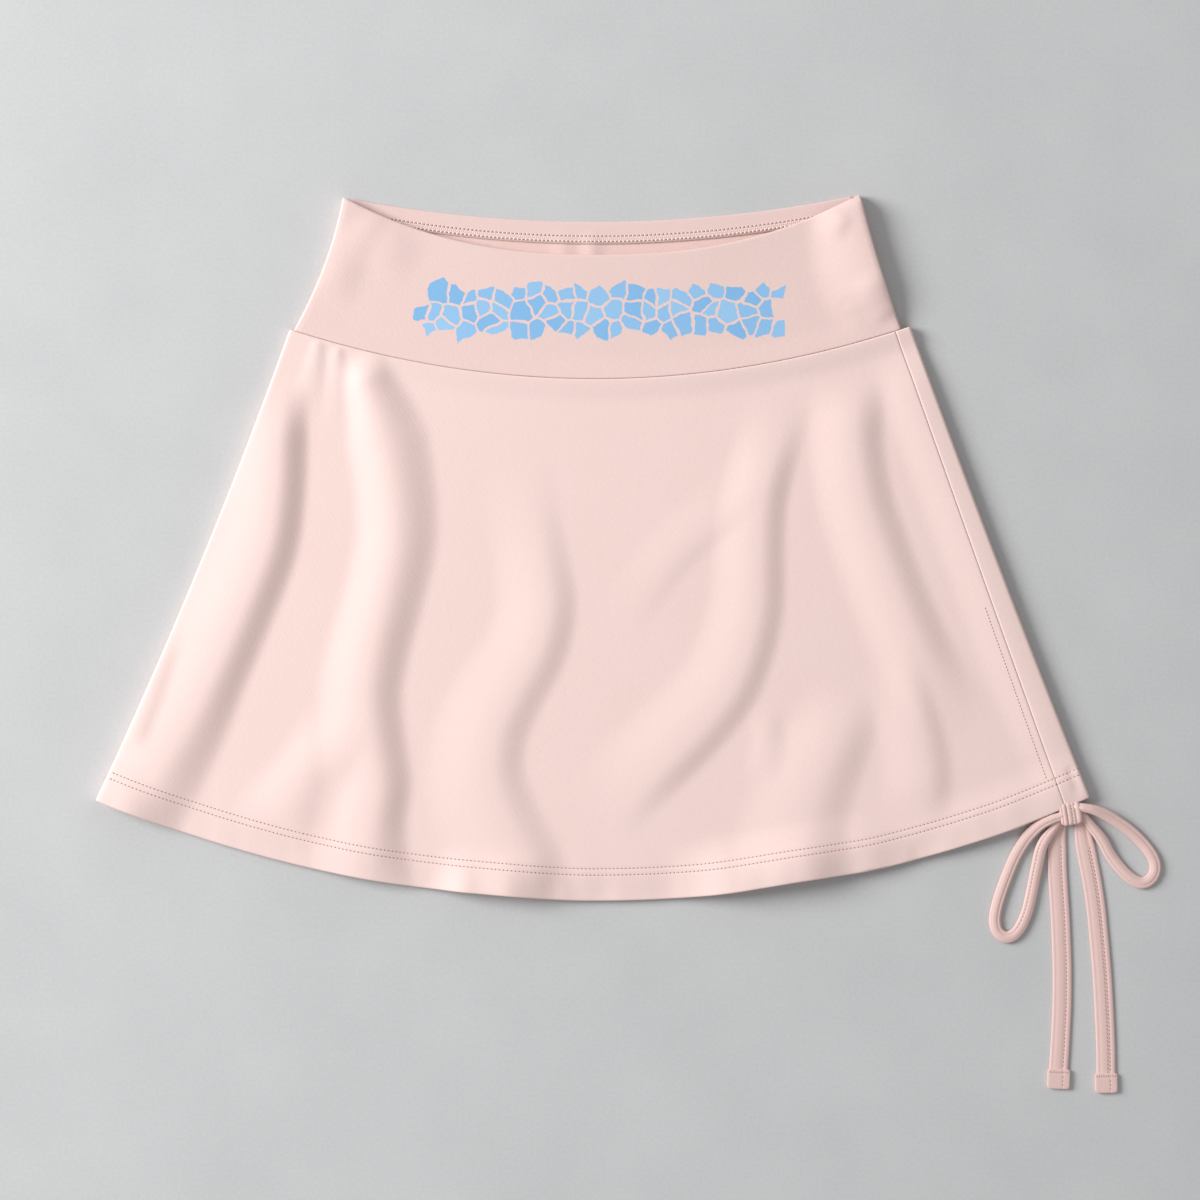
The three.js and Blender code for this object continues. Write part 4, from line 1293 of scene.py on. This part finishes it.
# The coverstitch's needle holes are dark dots of painted shade.
cover_hole_shade_bm = bmesh.new()
lines = {name: inside_line(row, BACK_STACK) for name, row in COVER_ROWS.items()}
count = stitch_row(cover_bm, lines["upper"], COVER_PITCH, (1.5, 1.3, 0.5))
stitch_row(cover_hole_shade_bm, lines["upper"], COVER_PITCH, (1.2, 1.2, 0.3), shift=COVER_PITCH / 2)
stitch_row(cover_bm, lines["chain"], COVER_PITCH / 2, (1.5, 0.7, 0.6))
stitch_row(cover_bm, lines["lower"], COVER_PITCH, (1.9, 1.4, 0.9))
stitch_row(cover_hole_shade_bm, lines["lower"], COVER_PITCH, (0.9, 1.2, 0.3), shift=COVER_PITCH / 2)
coverstitch = link("waist_coverstitch", cover_bm, [pale_thread])
cover_hole_shade_dots = link("waist_needle_hole_shade_dots", cover_hole_shade_bm, [needle_shadow])
print("coverstitch of", count, "stitches")

# %% [markdown]
# The size that each sheet was cut to is worked out from its points. The casing's cut isn't a
# rectangle, so its width is worked out from its own area.

def flat_area(points):
    """Area of a panel's outer layer, from its grid."""
    a = points[:-1, :-1]
    b = points[1:, :-1]
    c = points[1:, 1:]
    d = points[:-1, 1:]
    return float((np.linalg.norm(np.cross(c - a, d - b), axis=2) / 2).sum())


for piece, points, under in (
    (skirt_front, front_points, "skirt_back_panel"),
    (casing, casing_points, "skirt_back_panel"),
    (skirt_back, back_points, "surface"),
    (waistband_front, band_points, "waistband_back_panel"),
    (waistband_back, back_band_points, "surface"),
):
    spread = points.reshape(-1, 3)
    size = (spread.max(axis=0) - spread.min(axis=0))[:2]
    width, length = size * MM
    if piece is casing:
        length = SKIRT_LENGTH * MM
        width = flat_area(points) * MM * MM / length * 1.05

# %% [markdown]
# The surface is a plain pale grey board. It is stage, not part of the garment, and a faint noise
# keeps it from looking like an empty background.

# %% Surface
floor_material, tree = new_material("matt_pale_board")
place = add_node(tree, "ShaderNodeTexCoord")
speckle = add_node(
    tree, "ShaderNodeTexNoise", {"Vector": place.outputs["Object"], "Scale": 500.0, "Detail": 2.0}
)
clouds = add_node(
    tree, "ShaderNodeTexNoise", {"Vector": place.outputs["Object"], "Scale": 14.0, "Detail": 4.0}
)
both = add_node(
    tree, "ShaderNodeMath", {0: speckle.outputs["Fac"], 1: clouds.outputs["Fac"]}, operation="ADD"
)
half = add_node(tree, "ShaderNodeMath", {0: both.outputs["Value"], 1: 0.5}, operation="MULTIPLY")
shade = add_node(
    tree,
    "ShaderNodeMix",
    {0: half.outputs["Value"], 6: linear("#dadada"), 7: linear("#c0c1c1")},
    data_type="RGBA",
)
shader = add_node(
    tree,
    "ShaderNodeBsdfPrincipled",
    {"Base Color": shade.outputs[2], "Roughness": 0.85, "Specular IOR Level": 0.2},
)
add_node(tree, "ShaderNodeOutputMaterial", {"Surface": shader.outputs["BSDF"]})

bm = bmesh.new()
bmesh.ops.create_grid(bm, x_segments=1, y_segments=1, size=3.0)
floor_mesh = bpy.data.meshes.new("surface")
bm.to_mesh(floor_mesh)
bm.free()
floor_mesh.materials.append(floor_material)
surface = bpy.data.objects.new("surface", floor_mesh)
bpy.context.scene.collection.objects.link(surface)

# %% [markdown]
# One large soft light stands to the left, far away and low enough to rake over the folds, and a
# grey world fills the shadows. A sun would give the same direction, but not the fall of light
# across the surface that the large light has.

# %% Lights
LIGHT_AZIMUTH = math.radians(163)
LIGHT_ELEVATION = math.radians(32)
LIGHT_DISTANCE = 3.5
LIGHT_SIZE = 1.95
LIGHT_POWER = 138
FILL = 0.43

flat_reach = LIGHT_DISTANCE * math.cos(LIGHT_ELEVATION)
light_place = Vector((
    flat_reach * math.cos(LIGHT_AZIMUTH),
    flat_reach * math.sin(LIGHT_AZIMUTH),
    LIGHT_DISTANCE * math.sin(LIGHT_ELEVATION),
))
light_data = bpy.data.lights.new("window_light", "AREA")
light_data.shape = "DISK"
light_data.size = LIGHT_SIZE
light_data.energy = LIGHT_POWER
light = bpy.data.objects.new("window_light", light_data)
light.location = light_place
light.rotation_mode = "QUATERNION"
light.rotation_quaternion = (-light_place).to_track_quat("-Z", "Y")
bpy.context.scene.collection.objects.link(light)

world = bpy.data.worlds.new("studio_world")
world.use_nodes = True
world.node_tree.nodes["Background"].inputs["Color"].default_value = linear("#f4f5f7")
world.node_tree.nodes["Background"].inputs["Strength"].default_value = FILL
bpy.context.scene.world = world
